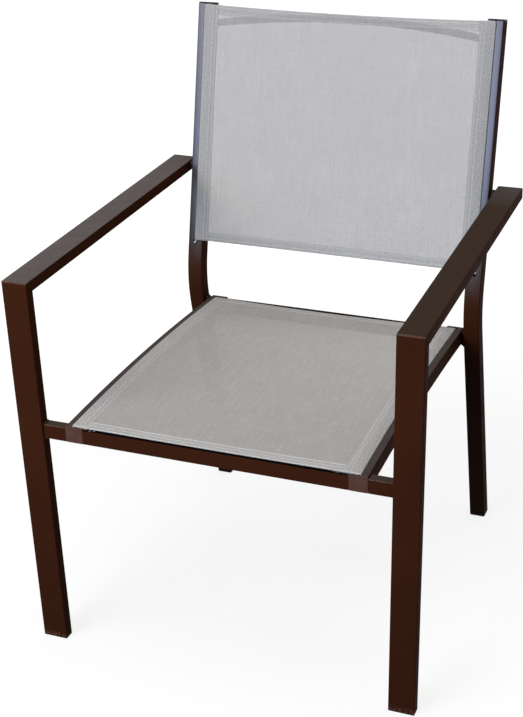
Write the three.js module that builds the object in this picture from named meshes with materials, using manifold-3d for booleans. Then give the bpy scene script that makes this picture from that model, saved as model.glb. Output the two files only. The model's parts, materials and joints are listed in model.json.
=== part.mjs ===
// Sling patio chair: a welded aluminium armchair with a stretched sling seat and a stretched sling back.
// Millimetres. +Z is up, the sitter faces -Y, and right is +X, as seen from in front of the chair.
// Each sling slides into slots in its two rails. A rod in a sewn side pocket keeps it in the slot.

import * as THREE from "three";
import { mergeVertices } from "three/addons/utils/BufferGeometryUtils.js";
import Module from "manifold-3d";

const wasm = await Module();
wasm.setup();

// Side view: reach is measured back from the front corner of the arms, height up from the floor
const armCornerHeight = 605;
const armEndHeight = 626;
const armOverhang = 4;
const frontFootReach = 12;
const postFootReach = 600;
const postBendReach = 500;
const postBendHeight = 427;
const postBendRadius = 200;
const postTopReach = 595.5;
const postTopHeight = 885.5;

// Front view: each span is taken over the outer faces of a left and a right piece
const armCornerSpan = 626;
const frontFootSpan = 609;
const postSpan = 515;
const spacerLength = 6.4;
const frontStubLength = 36;
const rearStubLength = 5.5;

// Flat tube of the front legs and armrests
const flatWidth = 40;
const flatThickness = 18;
const flatWall = 1.5;
const flatCorner = 1.4;

// Square extrusion of the back posts, with its slot milled open as far as the sling reaches
const postWidth = 26;
const postDepth = 26;
const postWall = 1.6;
const postCorner = 1.8;
const postSlotInset = 12.5;

// Slotted extrusion of the seat rails
const railWidth = 28.5;
const railHeight = 25;
const railWall = 1.6;
const railCorner = 1.5;
const railSlotInset = 11.5;
const railFrontHeight = 382.5;
const railRearHeight = 388.5;
const railCrown = 9;

// Rectangular tube of the crossbars and of the stubs that carry the seat frame
const crossbarHeight = 22.5;
const crossbarDepth = 17;
const crossbarWall = 1.5;
const crossbarCorner = 1.2;
const crossbarDrop = 2.5;
const frontCrossbarSetback = 3.5;
const rearCrossbarInset = 2.7;

// Round tube that spreads the back posts, arched up and bowed back so that the sitter never feels it
const spreaderDiameter = 12;
const spreaderWall = 1.2;
const spreaderRise = 18;
const spreaderBow = 20;
const spreaderDrop = 33;
const spreaderDepth = 13;

// Keder slot and the round channel under it, the same in posts and rails. A post's slot ends in a wider
// opening below its sling, where the rod is fed in.
const slotWidth = 3;
const slotLip = 2;
const channelDiameter = 8;
const entryWidth = 7;
const entryLength = 8;
const cutterRoundShare = 0.4;
const rodDiameter = 5;
const rodProjection = 4;

// Slings
const clothThickness = 0.8;
const hemRelief = 0.25;
const hemStepRun = 1;
const seamWidth = 21;
const foldRadius = 0.7;
const backSlingInset = 3.5;
const backSlingLength = 393;
const backTopHem = 16;
const backBottomHem = 15;
const backTopDip = 4;
const backSag = 2.5;
const seatSlingRearInset = 13;
const seatHem = 18;
const seatSag = 1.9;

// Plastic caps and glides: a plate that closes the tube and a spigot that grips inside it
const capPlate = 2.2;
const capBevel = 0.6;
const capSpigot = 14;
const armCapSpigot = 6;
const glidePlate = 2.5;

// Bolted joint between armrest and back post
const boltDiameter = 6;
const boltHeadDiameter = 11;
const boltHeadHeight = 3.2;
const armBoltDepth = 15;
const armBoltEngagement = 12;
const spacerDiameter = 15;
const nutDiameter = 9;
const nutFlangeDiameter = 12;
const nutFlange = 1;
const nutLength = 13;

// Weld beads
const frontWeldLeg = 2;
const rearWeldLeg = 5;
const cornerWeldLeg = 5;
const cornerWeldThroat = 1.7;
const spreaderWeldLeg = 2.2;
const weldEdge = 0.4;

// Running gap between pieces that touch, and how far a cutter passes the wall that it cuts
const fitGap = 0.3;
const drillOverrun = 4;

// Facets of round forms
const cornerSteps = 2;
const channelSteps = 10;
const channelSides = 12;
const pocketSteps = 9;
const rodSides = 8;
const turnedSides = 20;
const bendSteps = 8;
const railSteps = 10;
const spreaderSteps = 14;
const spreaderSides = 14;
const clothSteps = 5;
const filletSteps = 3;

const sideways = new THREE.Vector3(1, 0, 0);
const backwards = new THREE.Vector3(0, 1, 0);
const upwards = new THREE.Vector3(0, 0, 1);

const paint = { color: 0x3a2016, roughness: 0.45, metalness: 0.2 };
const capBrown = { color: 0x54382c, roughness: 0.6, metalness: 0 };
const blackPlastic = { color: 0x1c1a1b, roughness: 0.55, metalness: 0 };
const cloth = { color: 0xbdbdc0, roughness: 0.85, metalness: 0 };
const rodPlastic = { color: 0xe8e8e4, roughness: 0.5, metalness: 0 };
const plated = { color: 0xa8a8a6, roughness: 0.3, metalness: 1 };
const weldMetal = { color: 0x3a2218, roughness: 0.55, metalness: 0.2 };

// Points on an arc in a section, from one angle to another in degrees, both ends included
function arc(x, n, radius, from, to, steps) {
  return Array.from({ length: steps + 1 }, (unused, i) => {
    const angle = THREE.MathUtils.degToRad(THREE.MathUtils.lerp(from, to, i / steps));
    return new THREE.Vector2(x + radius * Math.cos(angle), n + radius * Math.sin(angle));
  });
}

// Full circle in a section, anticlockwise
function circle(x, n, radius, sides) {
  return arc(x, n, radius, 0, 360, sides).slice(1);
}

// Rounded rectangle, anticlockwise from its lower right corner
function rounded(left, right, low, high, radius) {
  return [
    ...arc(right - radius, low + radius, radius, -90, 0, cornerSteps),
    ...arc(right - radius, high - radius, radius, 0, 90, cornerSteps),
    ...arc(left + radius, high - radius, radius, 90, 180, cornerSteps),
    ...arc(left + radius, low + radius, radius, 180, 270, cornerSteps),
  ];
}

// Hollows run the other way round from the outline
function hollow(loop) {
  return [...loop].reverse();
}

// Where a line through a point meets a plane
function meet(point, along, planePoint, normal) {
  const distance = planePoint.clone().sub(point).dot(normal) / along.dot(normal);
  return point.clone().addScaledVector(along, distance);
}

// Normal of the face that a member shows to the front or to the top as it runs along in the side view
function faceNormal(along) {
  return new THREE.Vector3(0, along.z, -along.y).normalize();
}

// One place on a member: the line that its section hangs from, which way it runs, which way its face
// looks, and the normal of the plane that cuts it there
function station(place, along, { out = faceNormal(along), cut = along, shift = () => 0 } = {}) {
  return { place, along, out, cut, shift, side: new THREE.Vector3().crossVectors(out, along) };
}

// The same station moved along its member
function moved(at, distance) {
  return { ...at, place: at.place.clone().addScaledVector(at.along, distance) };
}

// A section point set on a station: x runs to the side, n out of the face
function setPoint(point, at) {
  const offset = at.side.clone().multiplyScalar(point.x).addScaledVector(at.out, point.y);
  const slide = at.shift(point.x) - offset.dot(at.cut) / at.along.dot(at.cut);
  return at.place.clone().add(offset).addScaledVector(at.along, slide);
}

// Solid skinned over sections, one for each station, closed flat at both ends.
// A section is an outline followed by its hollows, with as many points at every station.
function loft(stations, sections) {
  const positions = sections.flatMap((section, k) => {
    return section.flat().flatMap((point) => setPoint(point, stations[k]).toArray());
  });
  const ringSize = sections[0].flat().length;
  const index = [];
  for (let k = 0; k + 1 < stations.length; k += 1) {
    let first = k * ringSize;
    for (const loop of sections[0]) {
      for (let i = 0; i < loop.length; i += 1) {
        const a = first + i;
        const b = first + ((i + 1) % loop.length);
        index.push(a, b, b + ringSize, a, b + ringSize, a + ringSize);
      }
      first += loop.length;
    }
  }
  const last = positions.length / 3 - ringSize;
  for (const [a, b, c] of capFaces(sections[0])) index.push(c, b, a);
  for (const [a, b, c] of capFaces(sections.at(-1))) index.push(a + last, b + last, c + last);
  const geometry = new THREE.BufferGeometry();
  geometry.setAttribute("position", new THREE.Float32BufferAttribute(positions, 3));
  geometry.setIndex(index);
  return geometry;
}

function capFaces(section) {
  return THREE.ShapeUtils.triangulateShape([...section[0]], section.slice(1).map((loop) => [...loop]));
}

// Solid of one section carried unchanged along its stations
function sweep(stations, section) {
  return loft(stations, stations.map(() => section));
}

// The mirror image across the middle of the chair, with its faces still pointing out
function mirrored(geometry) {
  const copy = geometry.clone().scale(-1, 1, 1);
  const index = Array.from(copy.index.array);
  for (let i = 0; i < index.length; i += 3) {
    [index[i], index[i + 1]] = [index[i + 1], index[i]];
  }
  copy.setIndex(index);
  return copy;
}

// Geometry with shared corners merged, slivers dropped and its faces pointing out
function tidied(geometry) {
  geometry.deleteAttribute("normal");
  geometry.deleteAttribute("uv");
  const merged = mergeVertices(geometry);
  const corner = (i) => new THREE.Vector3().fromBufferAttribute(merged.attributes.position, i);
  const faces = [];
  let volume = 0;
  for (let i = 0; i < merged.index.count; i += 3) {
    const [a, b, c] = [0, 1, 2].map((step) => merged.index.getX(i + step));
    if (a === b || b === c || c === a) continue;
    faces.push([a, b, c]);
    volume += corner(a).dot(corner(b).cross(corner(c)));
  }
  merged.setIndex(faces.flatMap(([a, b, c]) => (volume > 0 ? [a, b, c] : [a, c, b])));
  return merged;
}

// Round piece turned about the X axis from a profile of [radius, distance along X]
function turned(profile, place) {
  const points = profile.map(([radius, distance]) => new THREE.Vector2(radius, distance));
  const geometry = new THREE.LatheGeometry(points, turnedSides);
  geometry.rotateZ(-Math.PI / 2).translate(place.x, place.y, place.z);
  return tidied(geometry);
}

function toSolid(geometry) {
  const vertProperties = Float32Array.from(geometry.attributes.position.array);
  const triVerts = Uint32Array.from(geometry.index.array);
  return new wasm.Manifold(new wasm.Mesh({ numProp: 3, vertProperties, triVerts }));
}

// A piece with the shapes of its cutters taken out of it
function machined(geometry, cutters) {
  const cut = cutters.reduce((solid, cutter) => solid.subtract(toSolid(cutter)), toSolid(geometry));
  const mesh = cut.getMesh();
  const result = new THREE.BufferGeometry();
  result.setAttribute("position", new THREE.Float32BufferAttribute(mesh.vertProperties, 3));
  result.setIndex(Array.from(mesh.triVerts));
  return result;
}

// Drill of a given radius between two places along X
function drill(radius, place, from, to) {
  return turned([[0, from], [radius, from], [radius, to], [0, to]], new THREE.Vector3(0, place.y, place.z));
}

// Sections. x is 0 at the outer face of a right-hand piece, n is 0 at its front or top face
const channelRadius = channelDiameter / 2;
const slotAngle = THREE.MathUtils.radToDeg(Math.asin(slotWidth / channelDiameter));
const channelDepth = slotLip + channelRadius * Math.cos(THREE.MathUtils.degToRad(slotAngle));
const cornerPoints = cornerSteps + 1;

function tubeSection(width, depth, wall, radius) {
  return [
    rounded(-width, 0, -depth, 0, radius),
    hollow(rounded(wall - width, -wall, wall - depth, -wall, radius)),
  ];
}

// Hollow of an extrusion whose round keder channel stands into it with a wall of its own
function channelledHollow(width, depth, wall, radius, slotInset) {
  const bulge = channelRadius + wall;
  const bulgeAngle = THREE.MathUtils.radToDeg(Math.asin((channelDepth - wall) / bulge));
  const inside = rounded(wall - width, -wall, wall - depth, -wall, radius);
  inside.splice(
    2 * cornerPoints, 0,
    ...arc(-slotInset, -channelDepth, bulge, bulgeAngle, -180 - bulgeAngle, channelSteps),
  );
  return hollow(inside);
}

// Extrusion with a closed channel, for a slot that is milled over a part of its length
function channelledSection(width, depth, wall, radius, slotInset) {
  return [
    rounded(-width, 0, -depth, 0, radius),
    channelledHollow(width, depth, wall, radius, slotInset),
    hollow(circle(-slotInset, -channelDepth, channelRadius, channelSides)),
  ];
}

// Extrusion with a channel that is open along its whole length
function slottedSection(width, depth, wall, radius, slotInset) {
  const outline = rounded(-width, 0, -depth, 0, radius);
  outline.splice(
    2 * cornerPoints, 0,
    new THREE.Vector2(slotWidth / 2 - slotInset, 0),
    ...arc(-slotInset, -channelDepth, channelRadius, 90 - slotAngle, slotAngle - 270, channelSteps),
    new THREE.Vector2(-slotWidth / 2 - slotInset, 0),
  );
  return [outline, channelledHollow(width, depth, wall, radius, slotInset)];
}

// The plate and the spigot of a plug, for a plain tube or for the part of a slotted one below its channel
function plugLoops(width, depth, wall, radius, roof = wall) {
  const inset = wall + fitGap;
  return {
    bevelled: rounded(capBevel - width, -capBevel, capBevel - depth, -capBevel, radius),
    plate: rounded(-width, 0, -depth, 0, radius),
    spigot: rounded(inset - width, -inset, inset - depth, -roof - fitGap, radius),
  };
}

// Plug for the end of a tube. intoTube is 1 where the tube runs on from the end, -1 where it comes to it.
function plug(end, intoTube, loops, plateThickness, spigotLength = capSpigot) {
  const plateStart = -fitGap - plateThickness;
  const layers = [
    [plateStart, loops.bevelled],
    [plateStart + capBevel, loops.plate],
    [-fitGap, loops.plate],
    [-fitGap, loops.spigot],
    [spigotLength, loops.spigot],
  ];
  if (intoTube < 0) layers.reverse();
  return loft(
    layers.map(([distance]) => moved(end, intoTube * distance)),
    layers.map(([, loop]) => [loop]),
  );
}

const flatSection = tubeSection(flatWidth, flatThickness, flatWall, flatCorner);
const postSection = channelledSection(postWidth, postDepth, postWall, postCorner, postSlotInset);
const railSection = slottedSection(railWidth, railHeight, railWall, railCorner, railSlotInset);
const postRoof = channelDepth + channelRadius + postWall;
const railRoof = channelDepth + channelRadius + railWall;
const flatPlug = plugLoops(flatWidth, flatThickness, flatWall, flatCorner);
const postPlug = plugLoops(postWidth, postDepth, postWall, postCorner, postRoof);
const railPlug = plugLoops(railWidth, railHeight, railWall, railCorner, railRoof);

// Back post of the right-hand side: two straight runs joined by a bend, led by its front face
const postTop = new THREE.Vector3(postSpan / 2, postTopReach, postTopHeight);
const postBend = new THREE.Vector3(postSpan / 2, postBendReach, postBendHeight);
const postFoot = new THREE.Vector3(postSpan / 2, postFootReach, 0);
const backAlong = postBend.clone().sub(postTop).normalize();
const rearLegAlong = postFoot.clone().sub(postBend).normalize();
const postBendAngle = backAlong.angleTo(rearLegAlong);
const bendStart = postBend.clone().addScaledVector(backAlong, -postBendRadius * Math.tan(postBendAngle / 2));
const bendCentre = bendStart.clone().addScaledVector(faceNormal(backAlong), -postBendRadius);

function bendStation(share) {
  const along = backAlong.clone().applyAxisAngle(sideways, share * postBendAngle);
  return station(bendCentre.clone().addScaledVector(faceNormal(along), postBendRadius), along);
}

const postTopStation = moved(station(postTop, backAlong), capPlate + fitGap);
const postFootStation = moved(station(postFoot, rearLegAlong, { cut: upwards }), -glidePlate - fitGap);
const bendStations = Array.from({ length: bendSteps + 1 }, (unused, i) => bendStation(i / bendSteps));

function postBackLine(facePoint, along) {
  return facePoint.clone().addScaledVector(faceNormal(along), -postDepth);
}

// How far back a line runs at a given height
function reachOf(point, along, height) {
  return meet(point, along, new THREE.Vector3(0, 0, height), upwards).y;
}

// Armrest and front leg of the right-hand side, mitred at the front corner
const armReach = reachOf(postBackLine(postTop, backAlong), backAlong, armEndHeight) + armOverhang;
const armEndHalf = postSpan / 2 + spacerLength + 2 * fitGap + flatWidth;
const armEnd = new THREE.Vector3(armEndHalf, armReach, armEndHeight);
const armCorner = new THREE.Vector3(armCornerSpan / 2, 0, armCornerHeight);
const frontFoot = new THREE.Vector3(frontFootSpan / 2, frontFootReach, 0);
const armAlong = armCorner.clone().sub(armEnd).normalize();
const legAlong = frontFoot.clone().sub(armCorner).normalize();
const mitre = armAlong.clone().add(legAlong).setX(0).normalize();
const mitreGap = fitGap / 2 / mitre.dot(armAlong);

const armEndStation = moved(station(armEnd, armAlong), capPlate + fitGap);
const armCornerStation = moved(station(armCorner, armAlong, { cut: mitre }), -mitreGap);
const legCornerStation = moved(station(armCorner, legAlong, { cut: mitre }), mitreGap);
const legFootStation = moved(station(frontFoot, legAlong, { cut: upwards }), -glidePlate - fitGap);

// Side face of a member, as a plane a given distance out from its outer face, negative for inwards
function sidePlane(at, distance) {
  return { point: at.place.clone().addScaledVector(at.side, distance), normal: at.side };
}

// Where a side plane stands at a given reach and height
function planeX(plane, reach, height) {
  return meet(new THREE.Vector3(0, reach, height), sideways, plane.point, plane.normal).x;
}

// Seat frame. Crossbars sit a little below the rails, so that the sling clears them.
const crossbarMid = crossbarDepth / 2;
const frontCrossbarTop = railFrontHeight - crossbarDrop;
const rearCrossbarTop = railRearHeight - crossbarDrop;

const rearCrossbarMiddle = rearCrossbarTop - crossbarHeight / 2;
const postBackAtSeat = reachOf(postBackLine(postFoot, rearLegAlong), rearLegAlong, rearCrossbarMiddle);
const seatFrontReach = reachOf(armCorner, legAlong, frontCrossbarTop) + frontCrossbarSetback;
const seatRearReach = postBackAtSeat - rearCrossbarInset;
const legInner = sidePlane(legFootStation, -flatWidth);
const postInner = sidePlane(postFootStation, -postWidth);
const railFrontHalf = planeX(legInner, seatFrontReach, frontCrossbarTop) - fitGap - frontStubLength;
const railRearHalf = postInner.point.x - fitGap - rearStubLength;

// Place on the outer top edge of the right-hand seat rail, which rises to its crown at mid-length
function railStation(reach, cut) {
  const share = (reach - seatRearReach) / (seatFrontReach - seatRearReach);
  const rear = new THREE.Vector3(railRearHalf, seatRearReach, railRearHeight);
  const chord = new THREE.Vector3(railFrontHalf, seatFrontReach, railFrontHeight).sub(rear);
  const place = rear.addScaledVector(chord, share)
    .addScaledVector(upwards, 4 * railCrown * share * (1 - share));
  const along = chord.addScaledVector(upwards, 4 * railCrown * (1 - 2 * share)).normalize();
  return station(place, along, { cut: cut ?? along });
}

function railStations(rear, front, endCut) {
  return Array.from({ length: railSteps + 1 }, (unused, i) => {
    const atEnd = i === 0 || i === railSteps;
    return railStation(THREE.MathUtils.lerp(rear, front, i / railSteps), atEnd ? endCut : undefined);
  });
}

const railRearStation = railStation(seatRearReach - capPlate - fitGap, backwards);
const railFrontStation = railStation(seatFrontReach + capPlate + fitGap, backwards);

function seatRail() {
  const stations = railStations(railRearStation.place.y, railFrontStation.place.y, backwards);
  return sweep(stations, railSection);
}

// Bar of crossbar tube along X between two planes, given as a point and a normal
function crossbar(frontReach, top, from, to) {
  const line = new THREE.Vector3(0, frontReach, top);
  const ends = [from, to].map(({ point, normal }) => {
    return station(meet(line, sideways, point, normal), sideways, { out: upwards, cut: normal });
  });
  const section = [
    rounded(0, crossbarDepth, -crossbarHeight, 0, crossbarCorner),
    hollow(rounded(
      crossbarWall, crossbarDepth - crossbarWall,
      crossbarWall - crossbarHeight, -crossbarWall, crossbarCorner,
    )),
  ];
  return sweep(ends, section);
}

function flipped(plane) {
  return {
    point: plane.point.clone().multiply(new THREE.Vector3(-1, 1, 1)),
    normal: plane.normal.clone().multiply(new THREE.Vector3(-1, 1, 1)),
  };
}

const frontRail = railStation(seatFrontReach + crossbarMid);
const rearRail = railStation(seatRearReach - crossbarMid);
const rearCrossbarFront = seatRearReach - crossbarDepth;

function inset(plane, distance) {
  return { ...plane, point: plane.point.clone().addScaledVector(plane.normal, distance) };
}

function seatBar(frontReach, top, rail) {
  const inner = sidePlane(rail, -railWidth - fitGap);
  return crossbar(frontReach, top, flipped(inner), inner);
}

function seatStub(frontReach, top, rail, carrier) {
  return crossbar(frontReach, top, sidePlane(rail, fitGap), inset(carrier, -fitGap));
}

// Arched spreader behind the top of the back sling
const spreaderLine = postTop.clone()
  .addScaledVector(backAlong, spreaderDrop)
  .addScaledVector(faceNormal(backAlong), -spreaderDepth)
  .setX(0);
const spreaderEnd = postSpan / 2 - postWidth - fitGap;
const spreaderArch = backAlong.clone().multiplyScalar(-spreaderRise)
  .addScaledVector(faceNormal(backAlong), -spreaderBow);
const spreaderOut = new THREE.Vector3().crossVectors(sideways, spreaderArch).normalize();

function spreaderStation(x, cut) {
  const share = x / spreaderEnd;
  const place = spreaderLine.clone().setX(x).addScaledVector(spreaderArch, 1 - share * share);
  const along = sideways.clone().addScaledVector(spreaderArch, -2 * share / spreaderEnd).normalize();
  return station(place, along, { out: spreaderOut, cut: cut ?? along });
}

function spreaderLoop(growth) {
  return circle(0, 0, spreaderDiameter / 2 + growth, spreaderSides);
}

function spreaderBar() {
  const stations = Array.from({ length: spreaderSteps + 1 }, (unused, i) => {
    const atEnd = i === 0 || i === spreaderSteps;
    const x = THREE.MathUtils.lerp(-spreaderEnd, spreaderEnd, i / spreaderSteps);
    return spreaderStation(x, atEnd ? sideways : undefined);
  });
  return sweep(stations, [spreaderLoop(0), hollow(spreaderLoop(-spreaderWall))]);
}

// Weld round the end of the spreader: a ring that thins out along the bar
function spreaderWeld() {
  const end = spreaderStation(spreaderEnd, sideways);
  const stations = [moved(end, -spreaderWeldLeg), end];
  const bore = hollow(spreaderLoop(fitGap));
  return loft(stations, [
    [spreaderLoop(fitGap + weldEdge), bore],
    [spreaderLoop(fitGap + spreaderWeldLeg), bore],
  ]);
}

// Section of a sling. Each side folds over the lip of its slot and closes round the rod. The cloth lies
// flat over the ledge, which is the rail's face inside the slot, and sags between the two ledges.
const pocketBore = rodDiameter / 2 + fitGap;
const pocketRadius = pocketBore + clothThickness;
const pocketAngle = THREE.MathUtils.radToDeg(Math.asin(clothThickness / pocketRadius));
const clothTop = fitGap + 2 * clothThickness;

function slingSection(half, ledge, sag, isHem) {
  const drop = (x) => sag * Math.max(0, 1 - (x / (half - ledge)) ** 2);
  const underside = fitGap + (isHem ? hemRelief : clothThickness);
  const seam = half - seamWidth;
  const under = Array.from({ length: clothSteps }, (unused, i) => {
    const x = seam * (i + 1) / clothSteps;
    return new THREE.Vector2(x, underside - drop(x));
  });
  const over = Array.from({ length: clothSteps }, (unused, i) => {
    const x = (half - foldRadius) * (clothSteps - i) / clothSteps;
    return new THREE.Vector2(x, clothTop - drop(x));
  });
  const rightSide = [
    ...under,
    new THREE.Vector2(seam + hemStepRun, fitGap - drop(seam + hemStepRun)),
    new THREE.Vector2(half - clothThickness, fitGap),
    ...arc(half, -channelDepth, pocketRadius, 90 + pocketAngle, 450 - pocketAngle, pocketSteps),
    ...arc(half + clothThickness - foldRadius, clothTop - foldRadius, foldRadius, 0, 90, cornerSteps),
    ...over,
  ];
  const leftSide = [...rightSide].reverse().map(({ x, y }) => new THREE.Vector2(-x, y));
  const pocket = (x) => hollow(circle(x, -channelDepth, pocketBore, rodSides));
  return [[...rightSide, ...leftSide], pocket(half), pocket(-half)];
}

function backSling() {
  const half = postSpan / 2 - postSlotInset;
  const top = station(postTop.clone().setX(0), backAlong, {
    shift: (x) => backTopDip * Math.max(0, 1 - (x / half) ** 2),
  });
  const level = station(postTop.clone().setX(0), backAlong);
  const bottom = backSlingInset + backSlingLength;
  const layers = [
    [top, backSlingInset, true],
    [top, backSlingInset + backTopHem, true],
    [top, backSlingInset + backTopHem + hemStepRun, false],
    [level, bottom - backBottomHem - hemStepRun, false],
    [level, bottom - backBottomHem, true],
    [level, bottom, true],
  ];
  return loft(
    layers.map(([at, distance]) => moved(at, distance)),
    layers.map(([, , isHem]) => slingSection(half, postWidth - postSlotInset, backSag, isHem)),
  );
}

const seatSlingRear = seatRearReach - seatSlingRearInset;
const seatSlingFront = railFrontStation.place.y + fitGap;

function seatSling() {
  const innerRear = seatSlingRear - seatHem - hemStepRun;
  const innerFront = seatSlingFront + seatHem + hemStepRun;
  const inner = Array.from({ length: railSteps + 1 }, (unused, i) => {
    return [THREE.MathUtils.lerp(innerRear, innerFront, i / railSteps), false];
  });
  const layers = [
    [seatSlingRear, true],
    [seatSlingRear - seatHem, true],
    ...inner,
    [seatSlingFront + seatHem, true],
    [seatSlingFront, true],
  ];
  const rails = layers.map(([reach]) => railStation(reach));
  return loft(
    rails.map(({ place, along }) => station(place.clone().setX(0), along.clone().setX(0).normalize())),
    rails.map(({ place }, k) => {
      return slingSection(place.x - railSlotInset, railWidth - railSlotInset, seatSag, layers[k][1]);
    }),
  );
}

// Rods of the right-hand slots
function backRod() {
  const top = station(postTop, backAlong);
  const ends = [backSlingInset, backSlingInset + backSlingLength + rodProjection];
  const section = [circle(-postSlotInset, -channelDepth, rodDiameter / 2, rodSides)];
  return sweep(ends.map((distance) => moved(top, distance)), section);
}

function seatRod() {
  const section = [circle(-railSlotInset, -channelDepth, rodDiameter / 2, rodSides)];
  return sweep(railStations(seatSlingRear, seatSlingFront), section);
}

// Bolt, spacer and rivet nut that tie the armrest to the back post
const armMiddle = armEnd.clone().addScaledVector(armEndStation.out, -flatThickness / 2);
const postBoltLine = postTop.clone().addScaledVector(faceNormal(backAlong), -armBoltDepth);
const boltPlace = meet(postBoltLine, backAlong, armMiddle, armEndStation.out);
const armSide = sidePlane(armEndStation, -flatWidth);
const postOuterX = postSpan / 2;
const postInnerX = postOuterX - postWidth;
const armInnerX = meet(boltPlace, sideways, armSide.point, armSide.normal).x;
const boltRadius = boltDiameter / 2;
const boltBore = boltRadius + fitGap;

function armBolt() {
  const head = postInnerX - fitGap;
  const tip = armInnerX + armBoltEngagement;
  const headRadius = boltHeadDiameter / 2;
  const crownRadius = headRadius * Math.SQRT1_2;
  const profile = [
    [0, head - boltHeadHeight],
    [crownRadius, head - boltHeadHeight],
    [headRadius, head - boltHeadHeight / 2],
    [headRadius, head],
    [boltRadius, head],
    [boltRadius, tip],
    [0, tip],
  ];
  return turned(profile, new THREE.Vector3(0, boltPlace.y, boltPlace.z));
}

function armSpacer() {
  const radius = spacerDiameter / 2;
  const [from, to] = [postOuterX + fitGap, armInnerX - fitGap];
  const profile = [[boltBore, from], [radius, from], [radius, to], [boltBore, to], [boltBore, from]];
  return turned(profile, new THREE.Vector3(0, boltPlace.y, boltPlace.z));
}

function rivetNut() {
  const seat = armInnerX + flatWall + fitGap;
  const [flangeEnd, end] = [seat + nutFlange, seat + nutLength];
  const profile = [
    [boltBore, seat],
    [nutFlangeDiameter / 2, seat],
    [nutFlangeDiameter / 2, flangeEnd],
    [nutDiameter / 2, flangeEnd],
    [nutDiameter / 2, end],
    [boltBore, end],
    [boltBore, seat],
  ];
  return turned(profile, new THREE.Vector3(0, boltPlace.y, boltPlace.z));
}

function armrest() {
  const tube = sweep([armEndStation, armCornerStation], flatSection);
  return machined(tube, [drill(boltBore, boltPlace, armInnerX - drillOverrun, armInnerX + drillOverrun)]);
}

// Cutter that opens the channel of a post through its front face, between two distances from the top
function faceCutter(width, from, to) {
  const face = faceNormal(backAlong);
  const ends = [-channelDepth, drillOverrun].map((height) => {
    return station(postTop.clone().addScaledVector(face, height), face, { out: backAlong.clone().negate() });
  });
  const middle = -postSlotInset;
  return sweep(ends, [rounded(middle - width / 2, middle + width / 2, -to, -from, width * cutterRoundShare)]);
}

function backPost() {
  const tube = sweep([postTopStation, ...bendStations, postFootStation], postSection);
  const slingEnd = backSlingInset + backSlingLength;
  return machined(tube, [
    drill(boltBore, boltPlace, postInnerX - drillOverrun, postOuterX + drillOverrun),
    faceCutter(slotWidth, -drillOverrun, slingEnd + entryLength / 2),
    faceCutter(entryWidth, slingEnd, slingEnd + entryLength),
  ]);
}

// Section of a concave weld fillet in the angle at x, n between a wall on its right and a bar, which
// lies below the bead or, for barSide -1, above it
function filletLoop(x, n, leg, barSide) {
  const reach = leg + fitGap;
  const hollowed = arc(-reach, reach, leg - weldEdge, -90, 0, filletSteps)
    .map((point) => new THREE.Vector2(point.x + weldEdge / 2, point.y - weldEdge / 2));
  const loop = [
    new THREE.Vector2(-reach, fitGap),
    new THREE.Vector2(-fitGap, fitGap),
    new THREE.Vector2(-fitGap, reach),
    ...hollowed.reverse(),
  ];
  const placed = loop.map((point) => new THREE.Vector2(x + point.x, n + barSide * point.y));
  return barSide > 0 ? placed : placed.reverse();
}

// Bead above a stub, or below it for barSide -1, against the side of the leg or post that carries it
function stubWeld(frontReach, top, leg, wall, barSide) {
  const bed = barSide > 0 ? top : top - crossbarHeight;
  const x = Math.min(...[bed, bed + barSide * leg].map((height) => planeX(wall, frontReach, height)));
  const ends = [frontReach + crossbarDepth - crossbarCorner, frontReach + crossbarCorner];
  const stations = ends.map((reach) => station(new THREE.Vector3(0, reach, 0), backwards.clone().negate()));
  return sweep(stations, [filletLoop(x, bed, leg, barSide)]);
}

function frontWeld(barSide) {
  return stubWeld(seatFrontReach, frontCrossbarTop, frontWeldLeg, legInner, barSide);
}

function rearWeld(barSide) {
  return stubWeld(rearCrossbarFront, rearCrossbarTop, rearWeldLeg, postInner, barSide);
}

// Bead inside the corner of armrest and front leg, across the width of the tube
function cornerWeld() {
  const armUnder = armCorner.clone().addScaledVector(faceNormal(armAlong), -flatThickness - fitGap);
  const legBack = armCorner.clone().addScaledVector(faceNormal(legAlong), -flatThickness - fitGap);
  const root = meet(armUnder, armAlong, legBack, faceNormal(legAlong));
  const outline = [
    root.clone().addScaledVector(legAlong, cornerWeldLeg),
    root.clone().addScaledVector(legAlong, cornerWeldThroat).addScaledVector(armAlong, -cornerWeldThroat),
    root.clone().addScaledVector(armAlong, -cornerWeldLeg),
    root,
  ].map((point) => new THREE.Vector2(point.y, point.z));
  const stations = [armCorner.x - flatWidth + flatCorner, armCorner.x - flatCorner].map((x) => {
    return station(new THREE.Vector3(x, 0, 0), sideways, { out: upwards });
  });
  return sweep(stations, [outline]);
}

const chair = new THREE.Group();

function add(group, name, geometry, finish) {
  const flat = geometry.toNonIndexed();
  flat.computeVertexNormals();
  const mesh = new THREE.Mesh(flat, new THREE.MeshStandardMaterial(finish));
  mesh.name = name;
  group.add(mesh);
}

// Adds a right-hand piece and its mirror image
function addPair(group, name, geometry, finish) {
  add(group, `right_${name}`, geometry, finish);
  add(group, `left_${name}`, mirrored(geometry), finish);
}

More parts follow.
